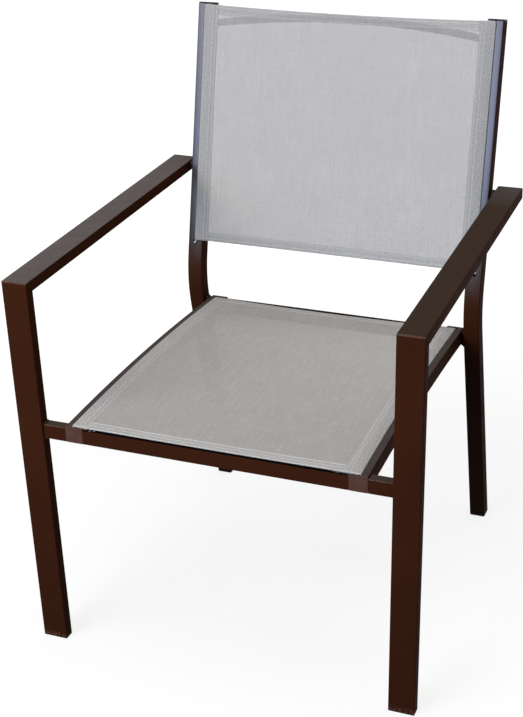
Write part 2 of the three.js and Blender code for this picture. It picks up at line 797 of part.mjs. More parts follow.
const frame = new THREE.Group();
addPair(frame, "armrest", armrest(), paint);
addPair(frame, "front_leg", sweep([legCornerStation, legFootStation], flatSection), paint);
addPair(frame, "back_post", backPost(), paint);
addPair(frame, "seat_rail", seatRail(), paint);
addPair(frame, "front_stub", seatStub(seatFrontReach, frontCrossbarTop, frontRail, legInner), paint);
addPair(frame, "rear_stub", seatStub(rearCrossbarFront, rearCrossbarTop, rearRail, postInner), paint);
add(frame, "front_crossbar", seatBar(seatFrontReach, frontCrossbarTop, frontRail), paint);
add(frame, "rear_crossbar", seatBar(rearCrossbarFront, rearCrossbarTop, rearRail), paint);
add(frame, "back_spreader_bar", spreaderBar(), paint);
addPair(frame, "arm_corner_weld", cornerWeld(), weldMetal);
addPair(frame, "front_stub_upper_weld", frontWeld(1), weldMetal);
addPair(frame, "front_stub_lower_weld", frontWeld(-1), weldMetal);
addPair(frame, "rear_stub_upper_weld", rearWeld(1), weldMetal);
addPair(frame, "rear_stub_lower_weld", rearWeld(-1), weldMetal);
addPair(frame, "spreader_weld", spreaderWeld(), weldMetal);
chair.add(frame);

const plastics = new THREE.Group();
addPair(plastics, "arm_end_cap", plug(armEndStation, 1, flatPlug, capPlate, armCapSpigot), blackPlastic);
addPair(plastics, "post_cap", plug(postTopStation, 1, postPlug, capPlate), blackPlastic);
addPair(plastics, "rail_rear_cap", plug(railRearStation, 1, railPlug, capPlate), capBrown);
addPair(plastics, "rail_front_cap", plug(railFrontStation, -1, railPlug, capPlate), capBrown);
addPair(plastics, "front_foot_glide", plug(legFootStation, -1, flatPlug, glidePlate), blackPlastic);
addPair(plastics, "rear_foot_glide", plug(postFootStation, -1, postPlug, glidePlate), blackPlastic);
addPair(plastics, "arm_spacer", armSpacer(), blackPlastic);
chair.add(plastics);

const slings = new THREE.Group();
add(slings, "back_sling", backSling(), cloth);
add(slings, "seat_sling", seatSling(), cloth);
addPair(slings, "back_keder_rod", backRod(), rodPlastic);
addPair(slings, "seat_keder_rod", seatRod(), rodPlastic);
chair.add(slings);

const fasteners = new THREE.Group();
addPair(fasteners, "arm_bolt", armBolt(), plated);
addPair(fasteners, "arm_rivet_nut", rivetNut(), plated);
chair.add(fasteners);

// The origin is on the floor under the middle of the chair's depth
const extent = new THREE.Box3().setFromObject(chair);
chair.position.y = -(extent.min.y + extent.max.y) / 2;
chair.updateMatrixWorld(true);

const group = new THREE.Group();
group.add(chair);
export default group;
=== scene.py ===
# %% [markdown]
# Sling patio chair
#
# The real chair is a welded aluminium frame, coated in dark brown powder. Two slings of coated
# mesh cloth are pulled tight between slotted rails. A plastic rod in a sewn pocket keeps each
# side of the cloth in its slot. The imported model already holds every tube, cap and rod at its
# real size. This script keeps those pieces and dresses them. It makes new cloth, thread, weld
# beads and bolts, because their look depends on detail that is finer than the model's.

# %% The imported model
import json
import math

import bmesh
import bpy
import numpy as np
from mathutils import Matrix, Vector
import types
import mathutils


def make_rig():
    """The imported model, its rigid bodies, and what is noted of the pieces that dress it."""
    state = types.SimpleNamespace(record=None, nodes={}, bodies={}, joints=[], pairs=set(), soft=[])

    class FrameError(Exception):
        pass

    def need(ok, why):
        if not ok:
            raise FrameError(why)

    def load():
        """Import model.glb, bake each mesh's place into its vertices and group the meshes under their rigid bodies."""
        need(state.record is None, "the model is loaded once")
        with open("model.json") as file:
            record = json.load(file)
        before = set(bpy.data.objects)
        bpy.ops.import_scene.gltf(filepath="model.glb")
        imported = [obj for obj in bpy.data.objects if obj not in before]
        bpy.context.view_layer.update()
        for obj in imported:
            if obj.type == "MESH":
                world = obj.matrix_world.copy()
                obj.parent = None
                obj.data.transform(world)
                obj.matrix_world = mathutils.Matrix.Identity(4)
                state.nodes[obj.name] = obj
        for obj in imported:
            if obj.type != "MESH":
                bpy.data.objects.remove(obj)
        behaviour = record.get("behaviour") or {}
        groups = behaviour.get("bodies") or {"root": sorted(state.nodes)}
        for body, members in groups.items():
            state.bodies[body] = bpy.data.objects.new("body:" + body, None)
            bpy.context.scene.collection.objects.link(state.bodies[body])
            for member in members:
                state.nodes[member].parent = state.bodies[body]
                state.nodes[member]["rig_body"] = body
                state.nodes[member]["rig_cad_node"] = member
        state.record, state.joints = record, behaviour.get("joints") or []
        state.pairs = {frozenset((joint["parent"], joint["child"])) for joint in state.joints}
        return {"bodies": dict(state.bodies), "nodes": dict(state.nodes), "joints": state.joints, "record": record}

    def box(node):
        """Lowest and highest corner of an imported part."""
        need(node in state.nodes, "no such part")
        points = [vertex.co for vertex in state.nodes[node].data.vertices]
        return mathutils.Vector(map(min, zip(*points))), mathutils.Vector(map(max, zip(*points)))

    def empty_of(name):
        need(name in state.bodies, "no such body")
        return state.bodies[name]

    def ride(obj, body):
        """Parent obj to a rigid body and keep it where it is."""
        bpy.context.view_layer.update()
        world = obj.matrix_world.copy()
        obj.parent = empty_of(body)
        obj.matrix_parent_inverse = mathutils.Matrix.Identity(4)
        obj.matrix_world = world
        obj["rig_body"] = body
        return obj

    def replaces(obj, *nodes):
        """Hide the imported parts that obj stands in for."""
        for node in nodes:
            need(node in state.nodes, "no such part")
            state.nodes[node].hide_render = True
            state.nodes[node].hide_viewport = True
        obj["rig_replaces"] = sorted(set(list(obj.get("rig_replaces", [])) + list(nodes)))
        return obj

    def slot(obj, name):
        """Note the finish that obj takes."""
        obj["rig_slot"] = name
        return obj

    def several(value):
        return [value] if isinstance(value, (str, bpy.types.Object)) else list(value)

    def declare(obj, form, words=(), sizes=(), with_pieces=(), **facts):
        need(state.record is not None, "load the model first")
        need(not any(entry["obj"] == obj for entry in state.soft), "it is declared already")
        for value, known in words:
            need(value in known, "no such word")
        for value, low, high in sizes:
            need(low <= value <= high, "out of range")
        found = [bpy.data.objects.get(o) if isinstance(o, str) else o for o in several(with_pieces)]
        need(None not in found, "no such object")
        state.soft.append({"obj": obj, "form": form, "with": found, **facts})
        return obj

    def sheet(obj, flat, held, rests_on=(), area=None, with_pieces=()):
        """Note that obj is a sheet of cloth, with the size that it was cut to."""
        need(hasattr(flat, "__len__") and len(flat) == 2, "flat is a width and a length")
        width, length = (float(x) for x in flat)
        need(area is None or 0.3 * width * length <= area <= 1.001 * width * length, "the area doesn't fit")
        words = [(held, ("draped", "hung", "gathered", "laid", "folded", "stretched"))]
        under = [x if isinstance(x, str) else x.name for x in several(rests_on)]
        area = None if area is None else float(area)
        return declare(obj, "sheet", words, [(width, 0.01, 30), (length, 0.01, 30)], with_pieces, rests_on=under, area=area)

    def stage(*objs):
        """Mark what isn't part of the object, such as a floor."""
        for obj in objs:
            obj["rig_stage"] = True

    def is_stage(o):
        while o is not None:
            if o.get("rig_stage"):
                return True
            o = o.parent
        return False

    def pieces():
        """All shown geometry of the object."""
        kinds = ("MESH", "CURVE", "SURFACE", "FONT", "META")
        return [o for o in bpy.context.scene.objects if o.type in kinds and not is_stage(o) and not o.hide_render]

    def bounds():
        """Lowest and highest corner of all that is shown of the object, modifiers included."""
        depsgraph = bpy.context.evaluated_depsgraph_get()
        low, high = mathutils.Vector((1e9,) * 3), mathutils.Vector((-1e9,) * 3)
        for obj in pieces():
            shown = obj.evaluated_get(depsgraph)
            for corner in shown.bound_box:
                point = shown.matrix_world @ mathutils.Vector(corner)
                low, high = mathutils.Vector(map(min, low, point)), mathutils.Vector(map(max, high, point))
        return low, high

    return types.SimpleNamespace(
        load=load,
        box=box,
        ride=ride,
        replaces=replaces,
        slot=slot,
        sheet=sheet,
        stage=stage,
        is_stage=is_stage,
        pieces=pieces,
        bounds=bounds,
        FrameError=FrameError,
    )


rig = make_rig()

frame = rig.load()
cad_low, cad_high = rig.bounds()
nodes = frame["nodes"]
SIDES = {"right": 1, "left": -1}
FRONT_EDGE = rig.box("right_front_leg")[0].y
LEG_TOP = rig.box("right_front_leg")[1].z
print(len(nodes), "nodes, chair of", [round(size, 4) for size in cad_high - cad_low], "m")

# %% [markdown]
# The camera
#
# The photograph was taken from 1.4 m above the floor, a little to the right of the chair. A
# camera is fully set by where it stands, three angles and its focal length. The focal length is
# written in pixels of the photograph, and Blender's lens follows from the sensor size.

# %% Camera
PHOTO_HEIGHT_PX = 717
FOCAL_PX = 1548.2
CAMERA_PLACE = Vector((0.8097, FRONT_EDGE - 1.756, 1.4048))
CAMERA_YAW = math.radians(22.438)
CAMERA_PITCH = math.radians(24.414)
CAMERA_ROLL = math.radians(-1.462)


def camera_turn(yaw, pitch, roll):
    """Turn of a camera that looks along +Y, then swings left by yaw, down by pitch, and rolls."""
    ahead = Vector((-math.sin(yaw) * math.cos(pitch), math.cos(yaw) * math.cos(pitch), -math.sin(pitch)))
    level = Vector((math.cos(yaw), math.sin(yaw), 0))
    upright = level.cross(ahead)
    right = level * math.cos(roll) + upright * math.sin(roll)
    up = upright * math.cos(roll) - level * math.sin(roll)
    return Matrix((right, up, -ahead)).transposed()


lens = bpy.data.cameras.new("camera")
lens.lens = FOCAL_PX / PHOTO_HEIGHT_PX * lens.sensor_width
camera = bpy.data.objects.new("camera", lens)
camera.matrix_world = Matrix.Translation(CAMERA_PLACE) @ camera_turn(
    CAMERA_YAW, CAMERA_PITCH, CAMERA_ROLL
).to_4x4()
bpy.context.collection.objects.link(camera)
bpy.context.scene.camera = camera
print("lens", round(lens.lens, 2), "mm")

# %% [markdown]
# Shader maths
#
# A finish is a sum: a base colour, plus a little noise, plus wear where a mask says so. Written
# with nodes by hand that takes a page. Here one small class wraps a socket, so that a sum in
# Python adds the Math nodes of the same sum, and one method makes any other node.

# %% Shader maths
class Socket:
    """A number, colour or vector in a material. Sums with it add Math nodes to the material."""

    def __init__(self, tree, out):
        self.tree = tree
        self.out = out

    def node(self, kind, settings=None, inputs=None, output=0):
        """Adds a node: its settings first, then the values or links of its sockets."""
        made = self.tree.nodes.new(kind)
        for key, value in (settings or {}).items():
            setattr(made, key, value)
        for key, value in (inputs or {}).items():
            if isinstance(value, Socket):
                self.tree.links.new(value.out, made.inputs[key])
            else:
                made.inputs[key].default_value = value
        return Socket(self.tree, made.outputs[output] if made.outputs else None)

    def maths(self, operation, *values):
        return self.node("ShaderNodeMath", {"operation": operation}, dict(enumerate(values)))

    def __add__(self, other):
        return self.maths("ADD", self, other)

    __radd__ = __add__

    def __mul__(self, other):
        return self.maths("MULTIPLY", self, other)

    __rmul__ = __mul__

    def __sub__(self, other):
        return self.maths("SUBTRACT", self, other)

    def __rsub__(self, other):
        return self.maths("SUBTRACT", other, self)

    def __truediv__(self, other):
        return self.maths("DIVIDE", self, other)

    def __abs__(self):
        return self.maths("ABSOLUTE", self)

    def sine(self):
        return self.maths("SINE", self)

    def larger(self, other):
        return self.maths("MAXIMUM", self, other)

    def wrapped(self, period):
        """The remainder after division by a period, never negative."""
        return self.maths("FLOORED_MODULO", self, period)

    def ramp(self, low, high, at_low=0.0, at_high=1.0):
        """Runs smoothly from at_low, where the number is low, to at_high, where it is high."""
        settings = {"interpolation_type": "SMOOTHSTEP"}
        inputs = dict(enumerate((self, low, high, at_low, at_high)))
        return self.node("ShaderNodeMapRange", settings, inputs)

    def noise(self, scale, detail=2.0):
        """Cloudy noise from 0 to 1 over a vector, with scale features to a metre."""
        inputs = {"Vector": self, "Scale": scale, "Detail": detail}
        return self.node("ShaderNodeTexNoise", inputs=inputs)

    def part(self, axis):
        return self.node("ShaderNodeSeparateXYZ", inputs={0: self}, output=axis)


def srgb(red, green, blue):
    """A colour that shows as these 8-bit values, in the linear numbers that a shader takes."""
    shown = np.array([red, green, blue]) / 255
    linear = np.where(shown <= 0.04045, shown / 12.92, ((shown + 0.055) / 1.055) ** 2.4)
    return (*linear.tolist(), 1.0)


class Finish:
    """A material with one Principled shader, and the places that its patterns are drawn by."""

    def __init__(self, name, **plain):
        self.material = bpy.data.materials.new(name)
        self.material.use_nodes = True
        self.tree = self.material.node_tree
        self.shader = self.tree.nodes["Principled BSDF"]
        self.set(**plain)
        start = Socket(self.tree, None)
        self.node = start.node
        self.place = start.node("ShaderNodeTexCoord", output="Object")

    def set(self, **values):
        """Sets shader sockets by name, with _ for a space. A Socket is linked, a number is set."""
        for key, value in values.items():
            socket = self.shader.inputs[key.replace("_", " ")]
            if isinstance(value, Socket):
                self.tree.links.new(value.out, socket)
            else:
                socket.default_value = value

    def mix(self, share, first, second):
        """A colour between two colours. A Mix node's colour sockets are its seventh and eighth."""
        return self.node("ShaderNodeMix", {"data_type": "RGBA"}, {0: share, 6: first, 7: second}, 2)

    def bump(self, height, strength, distance):
        """Normals of a surface raised by a height, where distance is what a height of 1 means."""
        inputs = {"Height": height, "Strength": strength, "Distance": distance}
        return self.node("ShaderNodeBump", inputs=inputs)


print("sRGB mid grey is", round(srgb(128, 128, 128)[0], 3), "linear")

# %% [markdown]
# Powder coat
#
# The tubes are coated with polyester powder that melts into one skin. It is dark brown, nearly matt, and has the fine
# orange-peel waves of every powder coat. The tops are painted greyer and darker, as painted shade and sheen, and over
# them lies a grey of dust and painted sheen, more on the left. Behind and below the seat the brown is darkened as
# painted shade, and the tops of the bars that the seat covers are painted near black as painted shadow, in place of
# dust. Edges and the mitred corners carry a paler line, a painted highlight. The feet are scuffed by the paving. The
# fronts of the posts have a gloss, and a bluish painted reflection in their colour. Each piece could be painted by
# hand. Here one recipe does for all: dust and painted sheen follow the upward part of the surface's own normal, gloss
# and painted reflection its forward part, and the rest follows the place in the chair.

# %% Powder coat
BROWN = srgb(64, 32, 17)
BROWN_DARK = srgb(48, 23, 13)
UNDER_SEAT_SHADE = srgb(20, 11, 8)
TOP_SHADE_AND_SHEEN = srgb(46, 37, 28)
DUST_AND_SHEEN = srgb(105, 99, 100)
UNDER_SLING_SHADOW = srgb(20, 14, 11)
POST_REFLECTION = srgb(52, 57, 84)
POST_LOW_REFLECTION = srgb(54, 60, 56)
EDGE = srgb(112, 88, 76)
SCUFF = srgb(128, 92, 74)
SHADE_SHARE = 0.75
TOP_SHADE_AND_SHEEN_SHARE = 0.8
EDGE_HIGHLIGHT_SHARE = 0.7
SCUFF_ROUGHNESS = 0.2
PLAIN_GLOSS = 0.01
PEEL_DEPTH = 0.00004

# Ramps run between two limits: a height, a distance back from the chair's middle, a place across
# it, or a part of the normal. Where four numbers stand, the last two are the values at the limits.
UPWARD = (0.5, 1.0)
FORWARD = (-0.6, -0.95)
EDGE_TURN = (0.2, 0.42)
CLOUD_HEIGHTS = (0.0, 0.5, 0.3, 1.0)
SHADE_BACK = (0.0, 0.25)
SHADE_HEIGHTS = (0.3, 0.42, 1.0, 0.0)
DUST_AND_SHEEN_ACROSS = (-0.34, 0.34, 0.66, 0.05)
DUST_AND_SHEEN_BACK = (0.12, 0.27, 0.0, 0.35)
STUB_HEIGHTS = (0.38, 0.386, 0.2, 0.36)
RAIL_HEIGHTS = (0.42, 0.5, 1.0, 0.0)
MITRE_BACK = (FRONT_EDGE + 0.0028, FRONT_EDGE + 0.0008)
MITRE_HEIGHTS = (LEG_TOP - 0.0025, LEG_TOP - 0.0008)
SCUFF_HEIGHTS = (0.0, 0.013, 1.0, 0.0)
SCUFF_BACK = (0.0, 0.2, 0.75, 0.1)
GLOSS_AND_REFLECTION_HEIGHTS = (0.4, 0.7)
REFLECTION_CHANGE = (0.52, 0.68)
REFLECTION_SHARE = (0.0, 0.4, 0.0, 0.6)

# Noise: features to a metre, layers of detail, and the limits and values of the ramp over it
PATCHES = {
    "cloud": (9, 3),
    "sheen": (35, 3, 0.3, 0.7, 0.5, 0.6),
    "dust": (60, 4, 0.3, 0.7, 0.85, 1.0),
    "chips": (150, 3, 0.35, 0.6),
    "mitre_chips": (150, 3, 0.3, 0.5, 0.45, 0.9),
    "scuffs": (330, 5, 0.46, 0.66),
    "peel": (700, 2),
}


def powder_coat(name, rubbed=False, shadow_under_sling=False):
    """Brown powder coat with its age and painted light. Posts get gloss and a painted reflection, bars under the seat
    painted shadow.
    """
    coat = Finish(name, Specular_IOR_Level=0.004, Coat_Roughness=0.28)
    normal = coat.node("ShaderNodeNewGeometry", output="Normal")
    x, y, z = (coat.place.part(axis) for axis in range(3))

    def patches(kind):
        scale, detail, *ramp = PATCHES[kind]
        noise = coat.place.noise(scale, detail)
        return noise.ramp(*ramp) if ramp else noise

    upward = normal.part(2).ramp(*UPWARD)
    colour = coat.mix(patches("cloud") * z.ramp(*CLOUD_HEIGHTS), BROWN_DARK, BROWN)
    # Painted shade: behind and below the seat, the brown is darkened nearly to black.
    shaded = y.ramp(*SHADE_BACK) * z.ramp(*SHADE_HEIGHTS)
    colour = coat.mix(shaded * SHADE_SHARE, colour, UNDER_SEAT_SHADE)
    # Bars under the seat: their tops get painted shadow, nearly black, in place of dust.
    if shadow_under_sling:
        colour = coat.mix(upward, colour, UNDER_SLING_SHADOW)
    else:
        # Painted shade and sheen: the tops are painted greyer and darker.
        colour = coat.mix(upward * TOP_SHADE_AND_SHEEN_SHARE, colour, TOP_SHADE_AND_SHEEN)
        # Dust and painted sheen: a grey over the tops, more on the left.
        high = x.ramp(*DUST_AND_SHEEN_ACROSS).larger(y.ramp(*DUST_AND_SHEEN_BACK))
        low = z.ramp(*STUB_HEIGHTS)
        dust_and_sheen_share = high + (low - high) * z.ramp(*RAIL_HEIGHTS)
        colour = coat.mix(upward * dust_and_sheen_share * patches("dust"), colour, DUST_AND_SHEEN)
        # Painted highlight: a paler line along rounded top and front edges and along the arms' mitred front corners.
        edge = (abs(normal.part(1)) * abs(normal.part(2))).ramp(*EDGE_TURN)
        mitre = y.ramp(*MITRE_BACK) * z.ramp(*MITRE_HEIGHTS)
        painted_highlight = (edge * patches("chips")).larger(mitre * patches("mitre_chips"))
        colour = coat.mix(painted_highlight * EDGE_HIGHLIGHT_SHARE, colour, EDGE)
    scuffed = z.ramp(*SCUFF_HEIGHTS) * patches("scuffs") * y.ramp(*SCUFF_BACK)
    colour = coat.mix(scuffed, colour, SCUFF)
    gloss = PLAIN_GLOSS
    # Posts: a real coat of gloss on their fronts, and a painted reflection in the colour, bluish high up and greyer
    # lower down.
    if rubbed:
        gloss_and_reflection = normal.part(1).ramp(*FORWARD) * z.ramp(*GLOSS_AND_REFLECTION_HEIGHTS)
        sheen = coat.mix(z.ramp(*REFLECTION_CHANGE), POST_LOW_REFLECTION, POST_REFLECTION)
        colour = coat.mix(gloss_and_reflection.ramp(*REFLECTION_SHARE), colour, sheen)
        gloss = gloss_and_reflection + PLAIN_GLOSS
    rough = patches("sheen") + scuffed * SCUFF_ROUGHNESS
    coat.set(Base_Color=colour, Roughness=rough, Coat_Weight=gloss)
    coat.set(Normal=coat.bump(patches("peel"), 0.5, PEEL_DEPTH))
    return coat.material


paint = powder_coat("powder_coat")
post_paint = powder_coat("rubbed_powder_coat", rubbed=True)
bar_paint = powder_coat("sheltered_powder_coat", shadow_under_sling=True)
print("paint", [round(part, 4) for part in BROWN[:3]])

# %% [markdown]
# Plastics and metal
#
# Caps, glides and rods are plastic with a spark-eroded grain, a finer bump than orange peel, and
# cloudy patches where it is rubbed paler. The bolts and rivet nuts are zinc plated. A picture of
# wear could be laid over each piece. Noise is enough at this size, and it has no seams.

# %% Plastics and metal
GRAIN_SCALE = 1600
GRAIN_DEPTH = 0.00005


def moulded(name, colour, pale, roughness):
    """Moulded plastic: fine grain, rubbed paler in cloudy patches."""
    plastic = Finish(name, Specular_IOR_Level=0.12)
    rubbed = plastic.place.noise(80, 4).ramp(0.45, 0.75, 0.0, 0.6)
    dull = plastic.place.noise(120, 2).ramp(0.3, 0.7, roughness - 0.06, roughness + 0.06)
    plastic.set(Base_Color=plastic.mix(rubbed, colour, pale), Roughness=dull)
    plastic.set(Normal=plastic.bump(plastic.place.noise(GRAIN_SCALE, 2), 0.6, GRAIN_DEPTH))
    return plastic.material


def zinc_plate(name):
    """Zinc plate: bright metal with a faint spangle and dull patches."""
    zinc = Finish(name, Metallic=1.0)
    spangle = zinc.place.noise(500, 3)
    zinc.set(Base_Color=zinc.mix(spangle, srgb(150, 150, 146), srgb(196, 196, 192)))
    zinc.set(Roughness=spangle.ramp(0.3, 0.7, 0.26, 0.42))
    return zinc.material


brown_plastic = moulded("brown_plastic", srgb(73, 47, 37), srgb(88, 61, 50), 0.55)
black_plastic = moulded("black_plastic", srgb(27, 25, 27), srgb(48, 45, 45), 0.5)
rod_plastic = moulded("rod_plastic", srgb(214, 214, 210), srgb(232, 232, 228), 0.45)
zinc = zinc_plate("zinc_plate")
print("plastics and zinc ready")

# %% [markdown]
# Sling cloth
#
# The cloth is woven from coated polyester yarn, a little over one millimetre apart both ways. It is a net: small
# square holes stay open between the yarns, so light and whatever is behind show faintly through one layer and hardly
# at all through two. That is why hems and side bands look denser than the field. The doubled cloth is painted paler,
# as painted light that stands in for the shade showing through the single field's holes, and dark specks on it are
# painted shade between the two layers. The low parts of the weave take a darker colour, as painted shade between the
# yarns. The weave is drawn on the cloth's own UV map, which is in metres of flat cloth, so it follows every fold. Each
# yarn is a ridge, and a sine along it dips it under every second crossing yarn. The holes are where neither ridge
# reaches, and they drive the alpha.

# %% Sling cloth
YARN_PITCH = 0.00125
YARN_FILL = 0.56
YARN_RISE = 0.00018
YARN_DIP = 0.3
CLOTH_UV = "cloth"
CLOTH = srgb(182, 179, 177)
CLOTH_SHADE = srgb(154, 152, 150)
CLOTH_PALE = srgb(198, 195, 193)
SLUBS = (420, 30)
STREAKS = (240, 9)
CLOUDS = (14, 3)
GRAIN = (340, 3)
SOFT = (0.35, 0.65)
CLOUD_SHARE = 0.06
GRAIN_SHARE = 0.3
STREAK_SHARE = 0.2
SPECK_SHADE = srgb(128, 127, 128)
SPECK_SCALE = 420
SPECK_SHARE = 0.55
DOUBLE_SHARE = 0.4
DOUBLE_EDGE = 0.001


def woven(name, seam_at, length, hems, tone):
    """Plain weave of round yarns over the UV map. The cloth is double outside seam_at and in the hems."""
    cloth = Finish(name, Specular_IOR_Level=0.25, Sheen_Weight=0.1, Sheen_Roughness=0.5)
    flat = cloth.node("ShaderNodeUVMap", {"uv_map": CLOTH_UV})
    across, down = flat.part(0), flat.part(1)
    yarns = [across / YARN_PITCH, down / YARN_PITCH]
    crossing = (yarns[0] * math.pi).sine() * (yarns[1] * math.pi).sine()
    ridges = []
    for place, over in zip(yarns, (crossing, crossing * -1)):
        off_yarn = abs(place.wrapped(1.0) - 0.5) * (2 / YARN_FILL)
        ridge = (1 - off_yarn * off_yarn).larger(0.0)
        ridges.append(ridge * (1 - YARN_DIP + over * YARN_DIP))
    height = ridges[0].larger(ridges[1])

    def drawn_out(scale_across, scale_down):
        """Noise over the flat cloth with its own number of features to a metre each way."""
        inputs = {"Vector": flat, "Scale": (scale_across, scale_down, 1)}
        return flat.node("ShaderNodeMapping", inputs=inputs).noise(1.0, 2)

    slubs = drawn_out(*SLUBS) * drawn_out(*SLUBS[::-1])
    clouds = cloth.place.noise(*CLOUDS).ramp(*SOFT) * CLOUD_SHARE
    grain = flat.noise(*GRAIN).ramp(*SOFT) * GRAIN_SHARE
    streaks = drawn_out(*STREAKS).ramp(*SOFT) * STREAK_SHARE
    # The low parts of the weave take the darker colour, as painted shade between the yarns.
    colour = cloth.mix(height.ramp(0.1, 0.8), CLOTH_SHADE, CLOTH)
    colour = cloth.mix(slubs.ramp(0.2, 0.4, 0.0, 0.5), colour, CLOTH_PALE)
    colour = cloth.mix(clouds + grain + streaks, colour, CLOTH_SHADE)
    # The doubled zones are painted paler, as painted light, and dark specks on them are painted shade between the two
    # layers.
    double = down.ramp(hems[0], hems[0] - DOUBLE_EDGE)
    double = double.larger(down.ramp(length - hems[1], length - hems[1] + DOUBLE_EDGE))
    double = double.larger(abs(across).ramp(seam_at, seam_at + DOUBLE_EDGE))
    colour = cloth.mix(double * DOUBLE_SHARE, colour, tone)
    specks = flat.noise(SPECK_SCALE, 2).ramp(0.46, 0.6)
    colour = cloth.mix(double * specks * SPECK_SHARE, colour, SPECK_SHADE)
    cloth.set(Base_Color=colour, Roughness=0.72, Alpha=height.ramp(0.01, 0.06))
    cloth.set(Normal=cloth.bump(height, 0.7, YARN_RISE))
    return cloth.material


def spun(name):
    """Polyester thread: pale, with the fine twist left to noise."""
    thread = Finish(name, Specular_IOR_Level=0.3)
    twist = thread.place.noise(900, 2)
    thread.set(Base_Color=thread.mix(twist, srgb(206, 205, 204), srgb(232, 231, 229)))
    thread.set(Roughness=thread.place.noise(1500, 1).ramp(0.3, 0.7, 0.55, 0.75))
    return thread.material


seam_thread = spun("seam_thread")
print("yarns to a metre", round(1 / YARN_PITCH), "open share", round((1 - YARN_FILL) ** 2, 3))

# %% [markdown]
# Surfaces from arrays
#
# Every new piece is a grid: a function of two parameters gives the points of the whole surface
# at once, as numpy arrays, and the faces follow from the grid's numbering. A grid can close on
# itself one way, for a tube, or both ways, for a ring, and a tube gets a cap on each end. One
# helper turns points and faces into a piece of the chair. The grid of a mirrored piece comes out
# with its faces inwards, so the helper turns the faces of every closed piece outwards.

# %% Surfaces from arrays
def quads(numbers):
    """Faces of a grid of vertex numbers, each with its corners in turn."""
    near, far = numbers[:-1], numbers[1:]
    return np.stack([near[:, :-1], near[:, 1:], far[:, 1:], far[:, :-1]], -1).reshape(-1, 4)


def shell(rings, ring_too=False):
    """Faces over rings of points that close on themselves. The last ring joins the first if ring_too,
    or else the first and last ring each get a cap."""
    numbers = np.arange(rings.shape[0] * rings.shape[1]).reshape(rings.shape[:2])
    around = np.hstack([numbers, numbers[:, :1]])
    if ring_too:
        return quads(np.vstack([around, around[:1]])).tolist()
    return quads(around).tolist() + [numbers[0, ::-1].tolist(), numbers[-1].tolist()]


def make_piece(name, points, faces, material, slot, flat_map=None):
    """A mesh piece from points, faces and, for cloth, each point's place on the flat cloth. Any other
    piece is closed, and its faces are turned outwards."""
    mesh = bpy.data.meshes.new(name)
    mesh.from_pydata(points.reshape(-1, 3).tolist(), [], faces)
    if flat_map is None:
        closed = bmesh.new()
        closed.from_mesh(mesh)
        bmesh.ops.recalc_face_normals(closed, faces=closed.faces)
        closed.to_mesh(mesh)
        closed.free()
    else:
        corners = np.empty(len(mesh.loops), np.int32)
        mesh.loops.foreach_get("vertex_index", corners)
        layer = mesh.uv_layers.new(name=CLOTH_UV)
        layer.data.foreach_set("uv", flat_map.reshape(-1, 2)[corners].ravel())
    mesh.polygons.foreach_set("use_smooth", np.ones(len(mesh.polygons), bool))
    mesh.materials.append(material)
    piece = bpy.data.objects.new(name, mesh)
    bpy.context.collection.objects.link(piece)
    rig.ride(piece, "root")
    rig.slot(piece, slot)
    return piece


def unit(vectors):
    return vectors / np.linalg.norm(vectors, axis=-1, keepdims=True)


print("grid of 2 by 3 points has", len(quads(np.arange(6).reshape(2, 3))), "faces")

# %% [markdown]
# Where the slings lie
#
# A sling is measured by three numbers: x across the chair, s down the cloth from its first edge,
# and n out of the rail's face. The back sling's s runs down the straight upper part of the
# posts. The seat sling's s runs forward over the rails, which rise to a low crown. Each of the
# two has one function that turns x, s and n into a place, and everything on that sling, from the
# weave to the last stitch, goes through it. No rail holds the front and rear edges. So the back's
# top edge hangs a little, the pull of the cloth draws both of the seat's edges inwards, and the
# front one lifts in the middle. Each fades away from the edge by a square.

# %% Where the slings lie
POST_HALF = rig.box("right_back_post")[1].x
POST_TOP = np.array([0, FRONT_EDGE + 0.5955, 0.8855])
POST_BEND = np.array([0, FRONT_EDGE + 0.5, 0.427])
SLOT_INSET = {"back": 0.0125, "seat": 0.0115}
BACK_TOP = 0.0035
BACK_LENGTH = 0.393
BACK_DIP = 0.004
BACK_DIP_FADE = 0.07
RAIL_CROWN = 0.009
SEAT_REAR_INSET = 0.013
SEAT_EDGE_PULL = 0.0004
SEAT_REAR_PULL = 0.003
SEAT_EDGE_LIFT = 0.001
SEAT_EDGE_FADE = 0.06

down_back = unit(POST_BEND - POST_TOP)
out_of_back = np.array([0, down_back[2], -down_back[1]])


def back_half(s):
    """Half the distance between the post slots, the same all the way down."""
    return np.full_like(s, POST_HALF - SLOT_INSET["back"])


def back_place(x, s, n):
    """Place on the back: down the posts by s, out of them by n."""
    x, s, n = np.broadcast_arrays(x, s, n)
    fade = np.clip(1 - s / BACK_DIP_FADE, 0, 1) ** 2
    slack = BACK_DIP * np.clip(1 - (x / back_half(s)) ** 2, 0, 1) * fade
    across = x[..., None] * np.array([1.0, 0, 0])
    down = (BACK_TOP + s + slack)[..., None] * down_back
    return POST_TOP + across + down + n[..., None] * out_of_back


rail_front = np.array(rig.box("right_rail_front_cap")[1])
rail_front[1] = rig.box("right_rail_front_cap")[0].y
rail_rear = np.array(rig.box("right_rail_rear_cap")[1])
SEAT_LENGTH = rail_rear[1] - SEAT_REAR_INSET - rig.box("seat_sling")[0].y


def seat_half(s):
    """Half the distance between the rail slots, which spread a little towards the front."""
    share = (s + SEAT_REAR_INSET) / (rail_rear[1] - rail_front[1])
    return rail_rear[0] + (rail_front[0] - rail_rear[0]) * share - SLOT_INSET["seat"]


